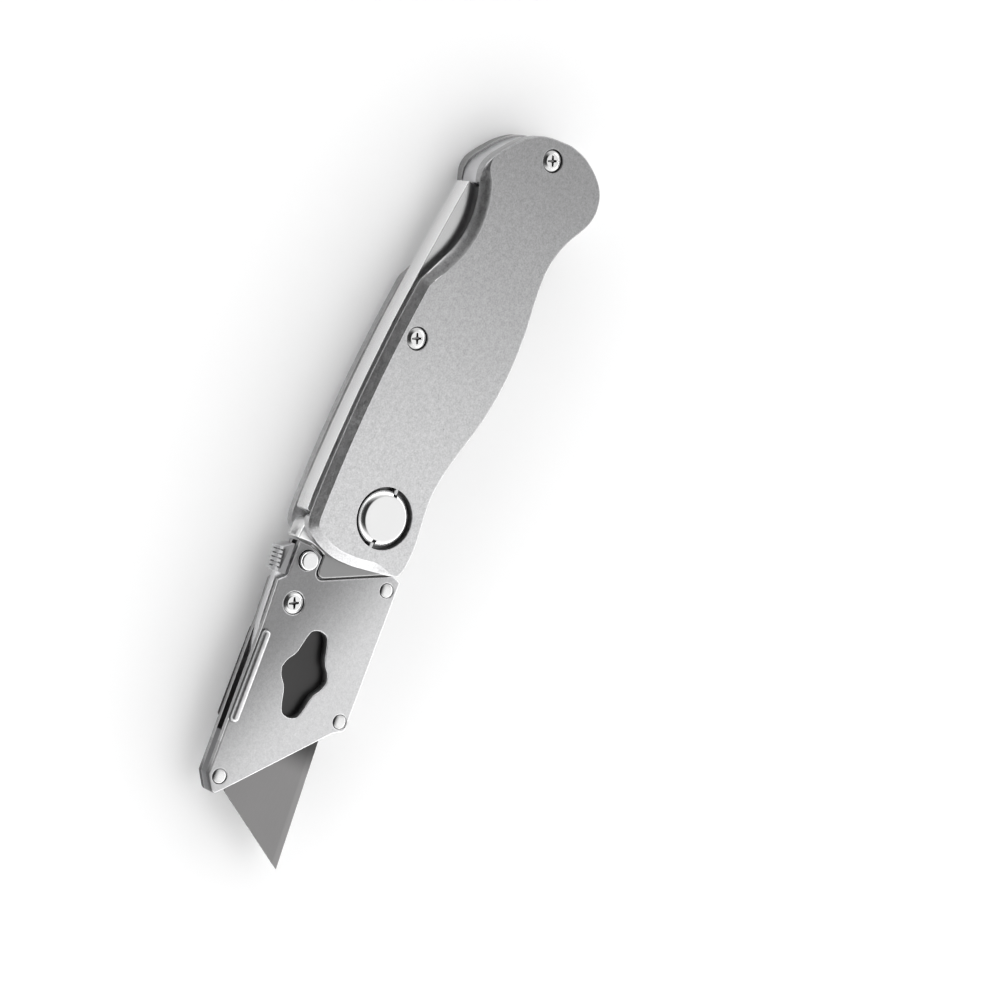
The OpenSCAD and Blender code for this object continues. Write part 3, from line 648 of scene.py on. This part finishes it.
def scale_levels(loop, height, relief_w):
    """Levels of a scale by height above its inner face. The bevel's share fades out round the
    tail and towards the edge side; in the scoop it is rounded, on the spine it is flat. With t
    from 0 to 1 the rounded one is W t inwards and H (1 - t)^SCOOP_FALL below the face."""
    x, y = loop.T
    share = ramp(x, *TAIL_FADE) * (1 - ramp(y, *EDGE_FADE))
    relief = relief_w * ramp(x, *RELIEF_REAR) * ramp(-x, *RELIEF_FRONT) * (y < SPINE_Y)
    soft = ramp(-x, *SCOOP_FADE)
    none = 0 * x
    levels = [(relief + 0.12 * MM, 0), (relief, 0.1 * MM), (relief, RELIEF_H),
              (none, RELIEF_H + 0.02 * MM), (none, RELIEF_H + 0.15 * MM)]
    for t in np.linspace(0, 1, 13):
        flat = (BEVEL_W * np.clip((t - LIP) / (1 - 2 * LIP), 0, 1),
                BEVEL_H * (1 - CURL * ramp(t, 0, 1) - (1 - CURL) * t))
        scoop = (BEVEL_W * SCOOP_W * t, BEVEL_H * (1 - t) ** SCOOP_FALL)
        small = [BROKEN_EDGE * (1 - f(t * np.pi / 2)) for f in (np.cos, np.sin)]
        inset, drop = [share * (soft * s + (1 - soft) * f) + (1 - share) * e
                       for s, f, e in zip(scoop, flat, small)]
        levels.append((inset, height - drop))
    levels.append((levels[-1][0] + 0.05 * MM, height))
    return levels


def scale_shell(node, side, seats, flip):
    """A scale from its section. A seat is (centre, [(radius, depth below the outer face)])."""
    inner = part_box(node)[0].z if side > 0 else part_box(node)[1].z
    place = lambda h: inner + side * h
    loop = even(section(node, place(RELIEF_H + 0.25 * MM))[0], 0.35 * MM, 3)
    levels = scale_levels(loop, scale_t, RELIEF_W if side > 0 else 0)
    outer = stack(loop, [(inset, place(h)) for inset, h in levels])
    holes = [round_rings(c, [(r, place(scale_t - d)) for r, d in profile])
             for c, profile in seats]
    return shell(outer, holes, flip=flip)


# A seat's deep walls get the recess mark, which darkens them as painted shade, such as the dark
# ring round the barrel's head.
def seat(centre, wide, depth, narrow, soft=0.12 * MM):
    """Counterbore: a broken mouth, the wide wall, the floor, then the narrow bore."""
    return centre, [(wide + soft + HOLD, 0), (wide + soft, 0), (wide + 0.03 * MM, 0.3 * soft),
                    (wide, soft), (wide, depth), (narrow + 0.05 * MM, depth),
                    (narrow, depth + 0.05 * MM), (narrow, scale_t)]


print("scale", round(scale_t / MM, 2), "mm thick")

# %% [markdown]
# ## Seats and keys
# The pivot barrel's head and the two screws sit in flat-bottomed seats, bored after the plate is
# milled. Two keys stand in the barrel's seat and fill the notches of its head, so that it cannot
# turn. They are part of the scale.

# %% Front and back scale
BARREL_SEAT, BARREL_SEAT_R, BARREL_BORE_R = 2.0 * MM, 7.1 * MM, 3.25 * MM
SCREW_SEAT, SCREW_SEAT_R, SCREW_BORE_R = 1.4 * MM, 2.7 * MM, 1.3 * MM
BACK_SEAT, BACK_SEAT_R = 1.6 * MM, 4.8 * MM
KEY_AT, KEY_HALF = 6.5 * MM, np.array([0.7, 0.4]) * MM
pivot = np.array(joint_at["blade_fold"]["pos_m"][:2])
screw_holes = [round_hole(h)[0] for h in section("front_scale", z_front - scale_t / 2)[1:]]
screw_holes = [c for c in screw_holes if norm(c - pivot) > 10 * MM]
front_seats = [seat(pivot, BARREL_SEAT_R, BARREL_SEAT, BARREL_BORE_R)]
front_seats += [seat(c, SCREW_SEAT_R, SCREW_SEAT, SCREW_BORE_R) for c in screw_holes]
keys = []
for side in (-1, 1):
    key = pivot + [side * KEY_AT, 0] + np.array([[-1, -1], [1, -1], [1, 1], [-1, 1]]) * KEY_HALF
    keys.append(shell(stack(even(key, 0.15 * MM, 1),
                            slab_levels(z_front - BARREL_SEAT, z_front - 0.3 * MM,
                                        0.02 * MM, 0.12 * MM))))
piece("front_scale_skin", [scale_shell("front_scale", 1, front_seats, False)] + keys, blasted,
      "handle", "front_scale")
back_seats = [seat(pivot, BACK_SEAT_R, BACK_SEAT, BARREL_BORE_R)]
piece("back_scale_skin", [scale_shell("back_scale", -1, back_seats, True)], blasted,
      "handle", "back_scale")

# %% [markdown]
# ## Screws
# A screw head is a low dome with a cross recess whose walls lean in, so that the driver seats.
# The recess is a pocket cut in the head's middle. Its arms taper a little and their corners are
# eased, as a punched recess is.

# %% Screws
CROSS_TURN = np.radians(27)
CROSS_REACH, CROSS_WIDTH, CROSS_DEPTH = 0.54, 0.21, 0.9 * MM   # the first two over head radius
RIM = 0.66                                                     # flat top's radius over head's


def cross_loop(centre, reach, width, turn):
    """A four-armed outline with tapered arms and eased corners, seen from the head."""
    wide, tip = width / 2 * 1.15, width * 0.36
    arm = np.array([[wide, -wide], [reach, -tip], [reach * 1.06, 0], [reach, tip]])
    spin = lambda p, a: p @ np.array([[np.cos(a), np.sin(a)], [-np.sin(a), np.cos(a)]])
    loop = np.concatenate([spin(arm, turn + k * np.pi / 2) for k in range(4)])
    return centre + even(loop, 0.09 * MM, 2, corner=20)


def screw(centre, head_r, head_h, shank_r, z_top, z_tip, dome=0.3 * MM):
    """Screw: shank, head with a lathe-rounded rim, and a dome that drops by the given amount,
    as dome * cos(t)^1.2. The recess is its outline drawn in as it goes down."""
    centre, rim = np.asarray(centre), RIM * head_r
    under = z_top - head_h
    profile = [(shank_r - 0.25 * MM, z_tip), (shank_r, z_tip + 0.25 * MM), (shank_r, under),
               (head_r - 0.08 * MM, under), (head_r, under + 0.08 * MM),
               (head_r, z_top - dome - 0.12 * MM)]
    for t in np.linspace(0.15, 1, 9):
        profile.append((head_r - (head_r - rim) * t, z_top - dome * np.cos(t * np.pi / 2) ** 1.2))
    profile.append((rim - HOLD, z_top))
    cross = cross_loop(centre, CROSS_REACH * head_r, CROSS_WIDTH * head_r, CROSS_TURN)
    recess = [(1.06, 0), (1.0, 0.06 * MM), (0.88, 0.5 * CROSS_DEPTH), (0.7, CROSS_DEPTH)]
    # The recess's deep walls get the recess mark, which darkens them as painted shade.
    pocket = np.array([at_height(centre + s * (cross - centre), z_top - d) for s, d in recess])
    return shell(round_rings(centre, profile), pockets=[pocket])


low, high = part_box("scale_screws")
piece("scale_screw_pair", [screw(c, 2.4 * MM, 1.4 * MM, 1.25 * MM, z_front - 0.05 * MM, low.z)
                           for c in screw_holes], bright_metal, "handle",
      "scale_screws")
low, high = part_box("pivot_screw")
back_screw = screw(pivot * [1, -1], 4.6 * MM, 1.5 * MM, 1.6 * MM, -low.z, -high.z)
piece("pivot_screw_back", [over_back(back_screw)], bright_metal, "handle",
      "pivot_screw")

# %% [markdown]
# ## The pivot
# The pivot barrel's head has a wide cone round a flat disc, and two notches for the keys. Its
# radius at each angle is the smaller of the cone's and the notch's, which cuts the notches
# without a boolean. The washers are bearing bronze, so that the tang turns easily; the sleeve is
# what the lock bar rocks on.

# %% Pivot barrel, washers and sleeve
BARREL_R, HEAD_R, DISC_R = 3.2, 6.4, 5.34   # mm
NOTCH_HALF, NOTCH_FLOOR = np.radians(5.4), 5.25 * MM


def notched(centre, profile, count=120):
    """Turned profile with two notches: r(angle, k) = min(profile r, NOTCH_FLOOR) inside a
    notch. Each side of a notch has two points at one angle, one outside and one inside."""
    sides = np.array([s + e for s in (0, np.pi) for e in (-NOTCH_HALF, NOTCH_HALF)])
    a = np.arange(count) * 2 * np.pi / count
    a = np.sort(np.concatenate([a, sides, sides]) % (2 * np.pi))
    gap = np.abs((a + np.pi / 2) % np.pi - np.pi / 2)
    inside = gap < NOTCH_HALF - 1e-9
    twin = np.diff(a) < 1e-9
    first, same = np.append(False, twin), np.append(twin, False)
    entering = np.isclose(a % np.pi, np.pi - NOTCH_HALF)
    inside |= np.isclose(gap, NOTCH_HALF) & np.where(entering, first, same)
    r, z = [np.array(column)[:, None] * np.ones(len(a)) for column in zip(*profile)]
    r = np.where(inside, np.minimum(r, NOTCH_FLOOR), r)
    return shell(np.stack([centre[0] + r * np.cos(a), centre[1] + r * np.sin(a), z], -1))


low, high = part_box("pivot_barrel")
head_low = z_front - BARREL_SEAT
stem = [(BARREL_R - 0.1, low.z), (BARREL_R, low.z + 0.1 * MM), (BARREL_R, head_low),
        (HEAD_R - 0.1, head_low), (HEAD_R, head_low + 0.1 * MM)]
cone = [(HEAD_R, 1.05), (HEAD_R - 0.06, 0.9), (DISC_R, 0.12), (DISC_R - 0.12, 0.05),
        (DISC_R - 0.26, 0.02), (DISC_R - 0.44, 0), (DISC_R - 0.49, 0)]
profile = [(r * MM, z) for r, z in stem] + [(r * MM, high.z - d * MM) for r, d in cone]
piece("pivot_barrel_head", [notched(pivot, profile)], bright_metal, "handle",
      "pivot_barrel")
washer_t = 0.25 * MM
middle, radius, z0, z1 = round_box("pivot_washers")
washers = [turned(pivot, tube(radius, BARREL_BORE_R, z, z + washer_t, 0.04 * MM), 96, True)
           for z in (z0, z1 - washer_t)]
piece("pivot_washer_pair", washers, bronze_metal, "handle", "pivot_washers")
middle, radius, z0, z1 = round_box("lock_sleeve")
sleeve = tube(radius, SCREW_BORE_R, z0, z1)
piece("lock_sleeve_tube", [turned(middle, sleeve, closed=True)], inner_metal, "handle",
      "lock_sleeve")

# %% [markdown]
# ## Plate work inside the handle
# The tail spacer, the lock bar and its leaf spring fill the space between the scales. The lock
# bar's top is ground flat and lightly rounded at its edges; it is the brightest strip on the
# knife.

# %% Spacer, spring and lock bar
OFF_MIDDLE = 0.013 * MM  # a cut this far off a node's middle height meets no flat face of it


def slab(node, z_cut, z0, z1, low_r, high_r, step=0.3 * MM, ease=2):
    """A plate part: its section at z_cut carried from z0 to z1, with its holes. Its edges are
    rounded by low_r and high_r."""
    outer, *inner = section(node, z_cut)
    holes = [stack(even(h, step * 0.7, 1), hole_levels(z1, z0, high_r, low_r)) for h in inner]
    return shell(stack(even(outer, step, ease), slab_levels(z0, z1, low_r, high_r)), holes)


def whole(node, low_r, high_r, **more):
    """A slab over the full height of its node."""
    low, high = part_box(node)
    return slab(node, (low.z + high.z) / 2 + OFF_MIDDLE, low.z, high.z, low_r, high_r, **more)


piece("tail_spacer_block", [whole("tail_spacer", 0.06 * MM, 0.06 * MM)], spacer_metal, "handle",
      "tail_spacer")
piece("lock_leaf_spring", [whole("lock_spring", 0.06 * MM, 0.06 * MM, step=0.2 * MM)],
      spring_metal, "handle", "lock_spring")
piece("lock_bar_ground", [whole("lock_bar", 0.14 * MM, 0.14 * MM)], lock_metal, "lock_bar",
      "lock_bar")

# %% [markdown]
# ## The tang
# The tang turns on the barrel and carries the plates. Its thick part is as wide as the gap;
# the core between the plates is thinner. Both are sections of the same node at two heights.

# %% Tang
low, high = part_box("tang")
core_low, core_high = [corner.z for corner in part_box("edge_spacer")]
tang_parts = [slab("tang", high.z - 0.5 * MM, low.z, high.z, 0.3 * MM, 0.3 * MM),
              slab("tang", z_middle + OFF_MIDDLE, core_low, core_high, 0.05 * MM, 0.05 * MM)]
piece("tang_body", tang_parts, tang_metal, "blade_carrier", "tang")

# %% [markdown]
# ## The carrier's plates
# Two equal pressed plates, one turned over. Each has a window with rolled-in edges, a raised
# rib that stiffens its spine side, countersunk holes for the rivets, and under it a bed that
# the blade slides on. The rib is the section just above the face, carried up a quarter round.
# The cut walls at the nose and all the inside are darkened as painted shade.

# %% Plates
PLATE_T, PLATE_EDGE, HOLE_EDGE = 1.5 * MM, 0.32 * MM, 0.22 * MM
COUNTERSINK, SHALLOW = 0.7 * MM, 0.2 * MM   # depths of a rivet's seat and of a plain hole's lip
BED_FROM, RIB_R = 0.35 * MM, 1.25 * MM      # bed's distance from the middle, rib's quarter round
INNER_SHADE = -0.8
NOSE_FROM, NOSE_Y, NOSE_FADE = 60, -4, (63, 68)   # mm: painted shade darkens the nose's walls from here


def plate_hole(hole, mouth, thick, place):
    """Rings of one hole: a window's outline, or a round seat with a broken mouth."""
    centre, small = round_hole(hole)
    large = round_hole(mouth)[1]
    if np.ptp(norm(hole - centre, axis=1)) > 0.5 * MM:
        return stack(even(hole, 0.2 * MM, 2), place(hole_levels(thick, 0, HOLE_EDGE, 0.05 * MM)))
    depth = COUNTERSINK if large > small + 0.2 * MM else SHALLOW
    seat_rings = [(large + HOLE_EDGE + HOLD, 0), (large + HOLE_EDGE, 0),
                  (large + 0.3 * HOLE_EDGE, 0.4 * HOLE_EDGE), (large, HOLE_EDGE), (large, depth),
                  (small, depth + 0.02 * MM), (small, thick)]
    return round_rings(centre, place([(r, thick - d) for r, d in seat_rings]), 60)


def plate_shells(node, up):
    """Face sheet, blade bed and rib of a plate, from sections of its node. The rib's inset at
    height h is R - sqrt(R^2 - h^2), a quarter round."""
    low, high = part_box(node)
    side = 1 if up else -1
    inner = core_high if up else core_low
    face = inner + side * PLATE_T
    place = lambda pairs: [(inset, inner + side * h) for inset, h in pairs]
    outer, *holes = section(node, inner + side * (PLATE_T * 0.35))
    wide = section(node, face - side * 0.12 * MM)[1:]
    mouths = [min(wide, key=lambda w: norm(w.mean(0) - h.mean(0))) for h in holes]
    # Window walls and rivet seats get the recess mark where deep, which darkens them as painted
    # shade.
    rings = [plate_hole(hole, mouth, PLATE_T, place) for hole, mouth in zip(holes, mouths)]
    sheet = shell(stack(even(outer, 0.3 * MM, 2),
                        place(slab_levels(0, PLATE_T, 0.05 * MM, PLATE_EDGE))), rings,
                  flip=not up)
    bed_outer, *bed_holes = section(node, inner - side * 0.3 * MM)
    bed_low = z_middle + side * BED_FROM
    bed_h = abs(inner - bed_low)
    bed_at = lambda pairs: [(inset, bed_low + side * h) for inset, h in pairs]
    bed_mouth = bed_at(hole_levels(bed_h, 0, 0.02 * MM, 0.04 * MM))
    bed = shell(stack(even(bed_outer, 0.4 * MM, 1),
                      bed_at(slab_levels(0, bed_h, 0.04 * MM, 0.02 * MM))),
                [stack(even(h, 0.2 * MM, 2), bed_mouth) for h in bed_holes], flip=not up)
    rib_top = abs((high.z if up else low.z) - face)
    foot = even(section(node, face + side * 0.05 * MM)[0], 0.15 * MM, 1)
    heights = rib_top * np.sin(np.linspace(0, np.pi / 2, 9)) * 0.995
    climb = [(0, face - side * 0.1 * MM)] + [(RIB_R * (1 - np.sqrt(1 - (h / RIB_R) ** 2)),
                                              face + side * h) for h in heights]
    rib = shell(stack(foot, climb), flip=not up)
    x, y = sheet[0][:, 0] / MM, sheet[0][:, 1] / MM
    above = np.abs(sheet[0][:, 2] - inner)
    # Painted shade: the cut walls at the nose are darkened towards the front.
    nose = (above > HOLD) & (above < PLATE_T - HOLD) & (x > NOSE_FROM) & (y < NOSE_Y)
    sheet[2][nose] = -ramp(x[nose], *NOSE_FADE)
    # Painted shade: the plate's inner face and its blade bed are darkened.
    sheet[2][above < 0.01 * MM] = INNER_SHADE
    bed[2][:] = INNER_SHADE
    risen = np.abs(rib[0][:, 2] - face)
    spine_side = np.tile(outward(foot)[:, 1] < -0.6, len(climb))
    # Painted shade: the rib's spine-side flank is darkened into a dark line. Painted highlight:
    # its crest gets the full edge mark and is lightened.
    rib[2][spine_side & (risen < 0.55 * rib_top)] = RECESS_SHADE
    rib[2][risen > 0.8 * rib_top] = 1
    return [sheet, bed, rib]


piece("front_plate_pressed", plate_shells("front_plate", True), pressed, "blade_carrier",
      "front_plate")
piece("back_plate_pressed", plate_shells("back_plate", False), pressed, "blade_carrier",
      "back_plate")
piece("edge_spacer_strip", [whole("edge_spacer", 0.05 * MM, 0.05 * MM)], inner_metal,
      "blade_carrier", "edge_spacer")
piece("nose_spacer_block", [whole("nose_spacer", 0.05 * MM, 0.05 * MM)], inner_metal,
      "blade_carrier", "nose_spacer")

# %% [markdown]
# ## Rivets, stud and the lever's screw
# The rivets are set almost flush, with low domes. The thumb stud stands proud on both sides
# and is turned with a wide round, so that it is kind to the thumb.

# %% Carrier fasteners
RIVET_DOME, RIVET_NECK_R, RIVET_HEAD = 0.30 * MM, 1.1 * MM, 0.8 * MM
low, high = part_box("carrier_rivets")
rivets = []
for loop in section("carrier_rivets", core_high + PLATE_T - 0.2 * MM):
    centre, radius = round_hole(loop)
    arc = [(radius * np.cos(t), RIVET_DOME * np.sin(t)) for t in np.linspace(0.25, 1.35, 7)]
    top = [(r, high.z - RIVET_DOME + h) for r, h in arc]
    bottom = [(r, low.z + RIVET_DOME - h) for r, h in arc][::-1]
    neck = [(radius * 0.97, low.z + RIVET_HEAD), (RIVET_NECK_R, low.z + RIVET_HEAD + 0.02 * MM),
            (RIVET_NECK_R, high.z - RIVET_HEAD - 0.02 * MM), (radius * 0.97, high.z - RIVET_HEAD)]
    rivets.append(turned(centre, bottom + neck + top, 60))
piece("carrier_rivet_set", rivets, bright_metal, "blade_carrier",
      "carrier_rivets")
STUD_SOFT, STUD_HEAD, SPIGOT_R = 0.55 * MM, 1.5 * MM, 1.4 * MM


def stud(node, up):
    """Stud half: spigot, seat and a head with a wide round."""
    centre, radius, z0, z1 = round_box(node)
    top, foot = (z1, z0) if up else (-z0, -z1)
    profile = [(SPIGOT_R - 0.05 * MM, foot), (SPIGOT_R, foot + 0.05 * MM),
               (SPIGOT_R, top - STUD_HEAD), (radius - 0.05 * MM, top - STUD_HEAD),
               (radius, top - STUD_HEAD + 0.08 * MM)]
    profile += [(radius - inset, top - drop) for inset, drop in quarter(STUD_SOFT, 7)]
    profile.append((radius - STUD_SOFT - 0.05 * MM, top))
    part = turned(centre if up else centre * [1, -1], profile)
    return part if up else over_back(part)


piece("thumb_stud_turned", [stud("thumb_stud", True)], bright_metal, "blade_carrier",
      "thumb_stud")
piece("stud_nut_turned", [stud("stud_nut", False)], bright_metal, "blade_carrier",
      "stud_nut")
lever_at, radius, z0, z1 = round_box("lever_screw")
piece("lever_screw_domed", [screw(lever_at, 2.5 * MM, 1.2 * MM, 1.2 * MM, z1, z0, 0.45 * MM)],
      bright_metal, "blade_carrier", "lever_screw")
middle, radius, z0, z1 = round_box("lever_bush")
bush = tube(radius, 1.25 * MM, z0, z1, 0.06 * MM)
piece("lever_bush_ring", [turned(lever_at, bush, closed=True)], bronze_metal, "blade_carrier",
      "lever_bush")

# %% [markdown]
# ## The release lever and its spring
# The thumb pad is as wide as the carrier and is cut with grooves for grip; the arm behind it is
# thin and runs inside. Two sections of the node give both. The catch that holds the blade is a
# thin leaf. The grooves' walls are marked as a recess, which darkens them as painted shade.

# %% Lever and catch
CARRIER_TILT = np.radians(5.3)  # the open carrier lies at this angle to the handle
PAD_REAR, PAD_FRONT = np.array([13.8, -19.4]), np.array([19.3, -18.7])  # mm, carrier's own axes
GROOVE_X, GROOVE_DEEP = (14.2, 18.6), (0.12, 0.8)   # mm, along and below the pad's top
low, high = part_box("release_lever")
arm_half = (core_high - core_low) / 2 - 0.1 * MM
lever_parts = [slab("release_lever", z_middle + OFF_MIDDLE, z_middle - arm_half,
                    z_middle + arm_half, 0.06 * MM, 0.06 * MM, step=0.12 * MM, ease=1),
               slab("release_lever", high.z - 0.4 * MM, low.z, high.z, 0.04 * MM, 0.04 * MM,
                    step=0.07 * MM, ease=1)]
cos, sin = np.cos(CARRIER_TILT), np.sin(CARRIER_TILT)
own = lever_parts[1][0][:, :2] @ np.array([[cos, -sin], [sin, cos]]) / MM
pad_way = (PAD_FRONT - PAD_REAR) / norm(PAD_FRONT - PAD_REAR)
deep = (own - PAD_REAR) @ np.array([-pad_way[1], pad_way[0]])
grooved = ((deep > GROOVE_DEEP[0]) & (deep < GROOVE_DEEP[1])
           & (own[:, 0] > GROOVE_X[0]) & (own[:, 0] < GROOVE_X[1]))
# Painted shade: the groove walls get the recess mark and are darkened.
lever_parts[1][2][grooved] = -1
print("groove points", int(grooved.sum()), "of", len(own))
piece("release_lever_pad", lever_parts, lever_metal, "release_lever",
      "release_lever")
piece("blade_catch_leaf", [whole("blade_catch", 0.05 * MM, 0.05 * MM, step=0.15 * MM)],
      spring_metal, "blade_catch", "blade_catch")

# %% [markdown]
# ## The coil spring
# A small compression spring pushes the lever back out. It is hard-drawn wire, wound at an even
# pitch. The wire's round section is carried along the helix, since a tube is what it is.

# %% Coil spring
COIL_WIRE, COIL_TURNS = 0.35 * MM, 7


def helix(base, tip, radius, wire, turns, around=10, per_turn=28):
    """Wire of a coil spring. The centre line is base + axis * length * t + radius * (cos, sin)
    of 2 pi turns t; the wire's section is a circle across the line's direction."""
    base, tip = np.array(base), np.array(tip)
    axis = (tip - base) / norm(tip - base)
    side = np.cross(axis, [0, 0, 1])
    side /= norm(side)
    over = np.cross(axis, side)
    t = np.linspace(0, 1, turns * per_turn + 1)[:, None]
    a = 2 * np.pi * turns * t
    length = norm(tip - base)
    out = np.cos(a) * side + np.sin(a) * over
    line = base + axis * (wire / 2 + (length - wire) * t) + radius * out
    way = np.gradient(line, axis=0)
    way /= norm(way, axis=1)[:, None]
    up = np.cross(way, out)
    b = np.linspace(0, 2 * np.pi, around, endpoint=False)[None, :, None]
    rings = line[:, None] + wire / 2 * (np.cos(b) * out[:, None] + np.sin(b) * up[:, None])
    points = rings.reshape(-1, 3)
    last = len(points)
    ends = [list(range(around))[::-1], list(range(last - around, last))]
    return points, quads(rings) + ends, np.zeros(last)


low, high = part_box("lever_spring")
coil_r = (high.z - low.z) / 2
down = np.array([np.sin(CARRIER_TILT), -np.cos(CARRIER_TILT), 0])
centre = np.array([(low.x + high.x) / 2, (low.y + high.y) / 2, z_middle])
half = ((high.y - low.y) / 2 - coil_r * np.sin(CARRIER_TILT)) / np.cos(CARRIER_TILT)
coil = helix(centre - down * half, centre + down * half, coil_r - (COIL_WIRE + 0.01 * MM) / 2,
             COIL_WIRE, COIL_TURNS)
piece("lever_coil_spring", [coil], spring_metal, "blade_carrier",
      "lever_spring")

# %% [markdown]
# ## The blade
# A trapezoid blade is strip steel ground to an edge on both sides and snapped to length. The
# ground land is the part of the outline that faces the edge side, drawn in by the width of the
# grind; the other sides are only squared off.

# %% Blade
LAND, BLADE_RIM = 1.6 * MM, 0.05 * MM   # width of the grind, half the height of a squared side
ON_LINE = 0.03 * MM                     # a point this near the edge or the back lies on it


def blade_shell():
    """The blade's section with a ground land on both sides of its edge. With d the distance
    from the edge and s the share of the way between the two ends, the face's outline is the
    section's with d squeezed from [0, height] into [land, height] at the same s."""
    low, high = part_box("utility_blade")
    loop = even(section("utility_blade", z_middle + 0.01 * MM)[0], 0.3 * MM, 0)
    inward = np.array(joint_at["blade_draw"]["axis"][:2])
    to_edge = np.array([inward[1], -inward[0]])
    d = (loop @ to_edge).max() - loop @ to_edge
    along = -loop @ inward
    height = d.max()
    edge_side, back_side = d < ON_LINE, d > height - ON_LINE
    ends = [(pick(along[edge_side]), pick(along[back_side])) for pick in (np.min, np.max)]
    rear, front = [lambda q, a=a, b=b: a + (b - a) * q / height for a, b in ends]
    share = (along - rear(d)) / (front(d) - rear(d))
    d_face = LAND + d * (height - LAND) / height
    along_face = rear(d_face) + share * (front(d_face) - rear(d_face))
    origin = (loop @ to_edge).max() * to_edge
    face = origin - np.outer(d_face, to_edge) - np.outer(along_face, inward)
    inner = face - outward(face) * 0.03 * MM
    rings = [(inner, low.z), (face, low.z), (loop, z_middle - BLADE_RIM),
             (loop, z_middle + BLADE_RIM), (face, high.z), (inner, high.z)]
    return shell(np.array([at_height(*ring) for ring in rings]))


piece("trapezoid_blade", [blade_shell()], blade_metal, "blade", "utility_blade")

# %% [markdown]
# ## Floor
# The knife lies on pale paper, just clear of it. The paper takes the soft shadow, and it
# whitens every wall that looks down.

# %% Stage
FLOOR_HALF, FLOOR_GAP, PAPER_WHITE, PAPER_ROUGH = 1.5, 0.2 * MM, 0.95, 0.9
floor_z = z_back - FLOOR_GAP
corner = np.array([[-1, -1, 0], [1, -1, 0], [1, 1, 0], [-1, 1, 0]]) * FLOOR_HALF
floor_mesh = bpy.data.meshes.new("floor")
floor_mesh.from_pydata((corner + [0, 0, floor_z]).tolist(), [], [[0, 1, 2, 3]])
paper = bpy.data.materials.new("pale_paper")
paper.use_nodes = True
paper_shader = paper.node_tree.nodes["Principled BSDF"]
paper_shader.inputs["Base Color"].default_value = (*[PAPER_WHITE] * 3, 1)
paper_shader.inputs["Roughness"].default_value = PAPER_ROUGH
floor_mesh.materials.append(paper)
floor = bpy.data.objects.new("floor", floor_mesh)
bpy.context.scene.collection.objects.link(floor)
print("floor", round((z_back - floor_z) / MM, 2), "mm under the knife")

# %% [markdown]
# ## Light
# Polished metal shows what is around it, so it is lit inside a white tent. The faces show the
# tent's roof, which is dimmer towards one end. The bevels look back at the opening where the
# viewer stands, which is dark, so they read dark, and that contrast draws the shape. One weak
# panel on the edge side lifts the faces.

# %% Lights
ROOF, RIM_LIGHT, ROOF_SIDE = 1.38, 2.8, 0.7
OPENING = (0.115, -0.533, 0.838)     # direction from the knife to the viewer
PANEL_PLACE, PANEL_SIZE, PANEL_POWER = (-0.02, 0.75, 0.95), 0.75, 0.5


def panel(name, place, target, size, power):
    """A square area light that faces a target."""
    light = bpy.data.lights.new(name, "AREA")
    light.size = size
    light.energy = power
    lamp = bpy.data.objects.new(name, light)
    lamp.location = place
    aim = Vector(target) - Vector(place)
    lamp.rotation_euler = aim.to_track_quat("-Z", "Y").to_euler()
    bpy.context.scene.collection.objects.link(lamp)
    return lamp


def tent(roof, opening, side_share, rim):
    """A white tent: roof * opening share * side share + rim near the horizon. The opening is
    the dark place that the viewer stands in; the roof is dimmer towards -X."""
    world = bpy.data.worlds.new("studio_tent")
    bpy.context.scene.world = world
    world.use_nodes = True
    tree = world.node_tree
    toward = lambda way, *span: share_along(tree, spot(tree, "Generated"), way, *span)
    hole = toward(opening, 0.50, 0.88, 1.0, 0.03)
    side = toward((1, 0, 0), -0.9, 0.5, side_share, 1.0)
    low = toward((0, 0, 1), 0.20, 0.55, rim, 0.0)
    strength = calc(tree, "ADD", times(tree, times(tree, hole, side), roof), low)
    background = tree.nodes["Background"].inputs
    background["Color"].default_value = (1, 1, 1, 1)
    tree.links.new(strength, background["Strength"])


tent(ROOF, OPENING, ROOF_SIDE, RIM_LIGHT)
panel("edge_side_panel", PANEL_PLACE, (0, 0, 0), PANEL_SIZE, PANEL_POWER)
bpy.context.scene.view_settings.view_transform = "Standard"
print("lights", [light.name for light in bpy.data.lights])
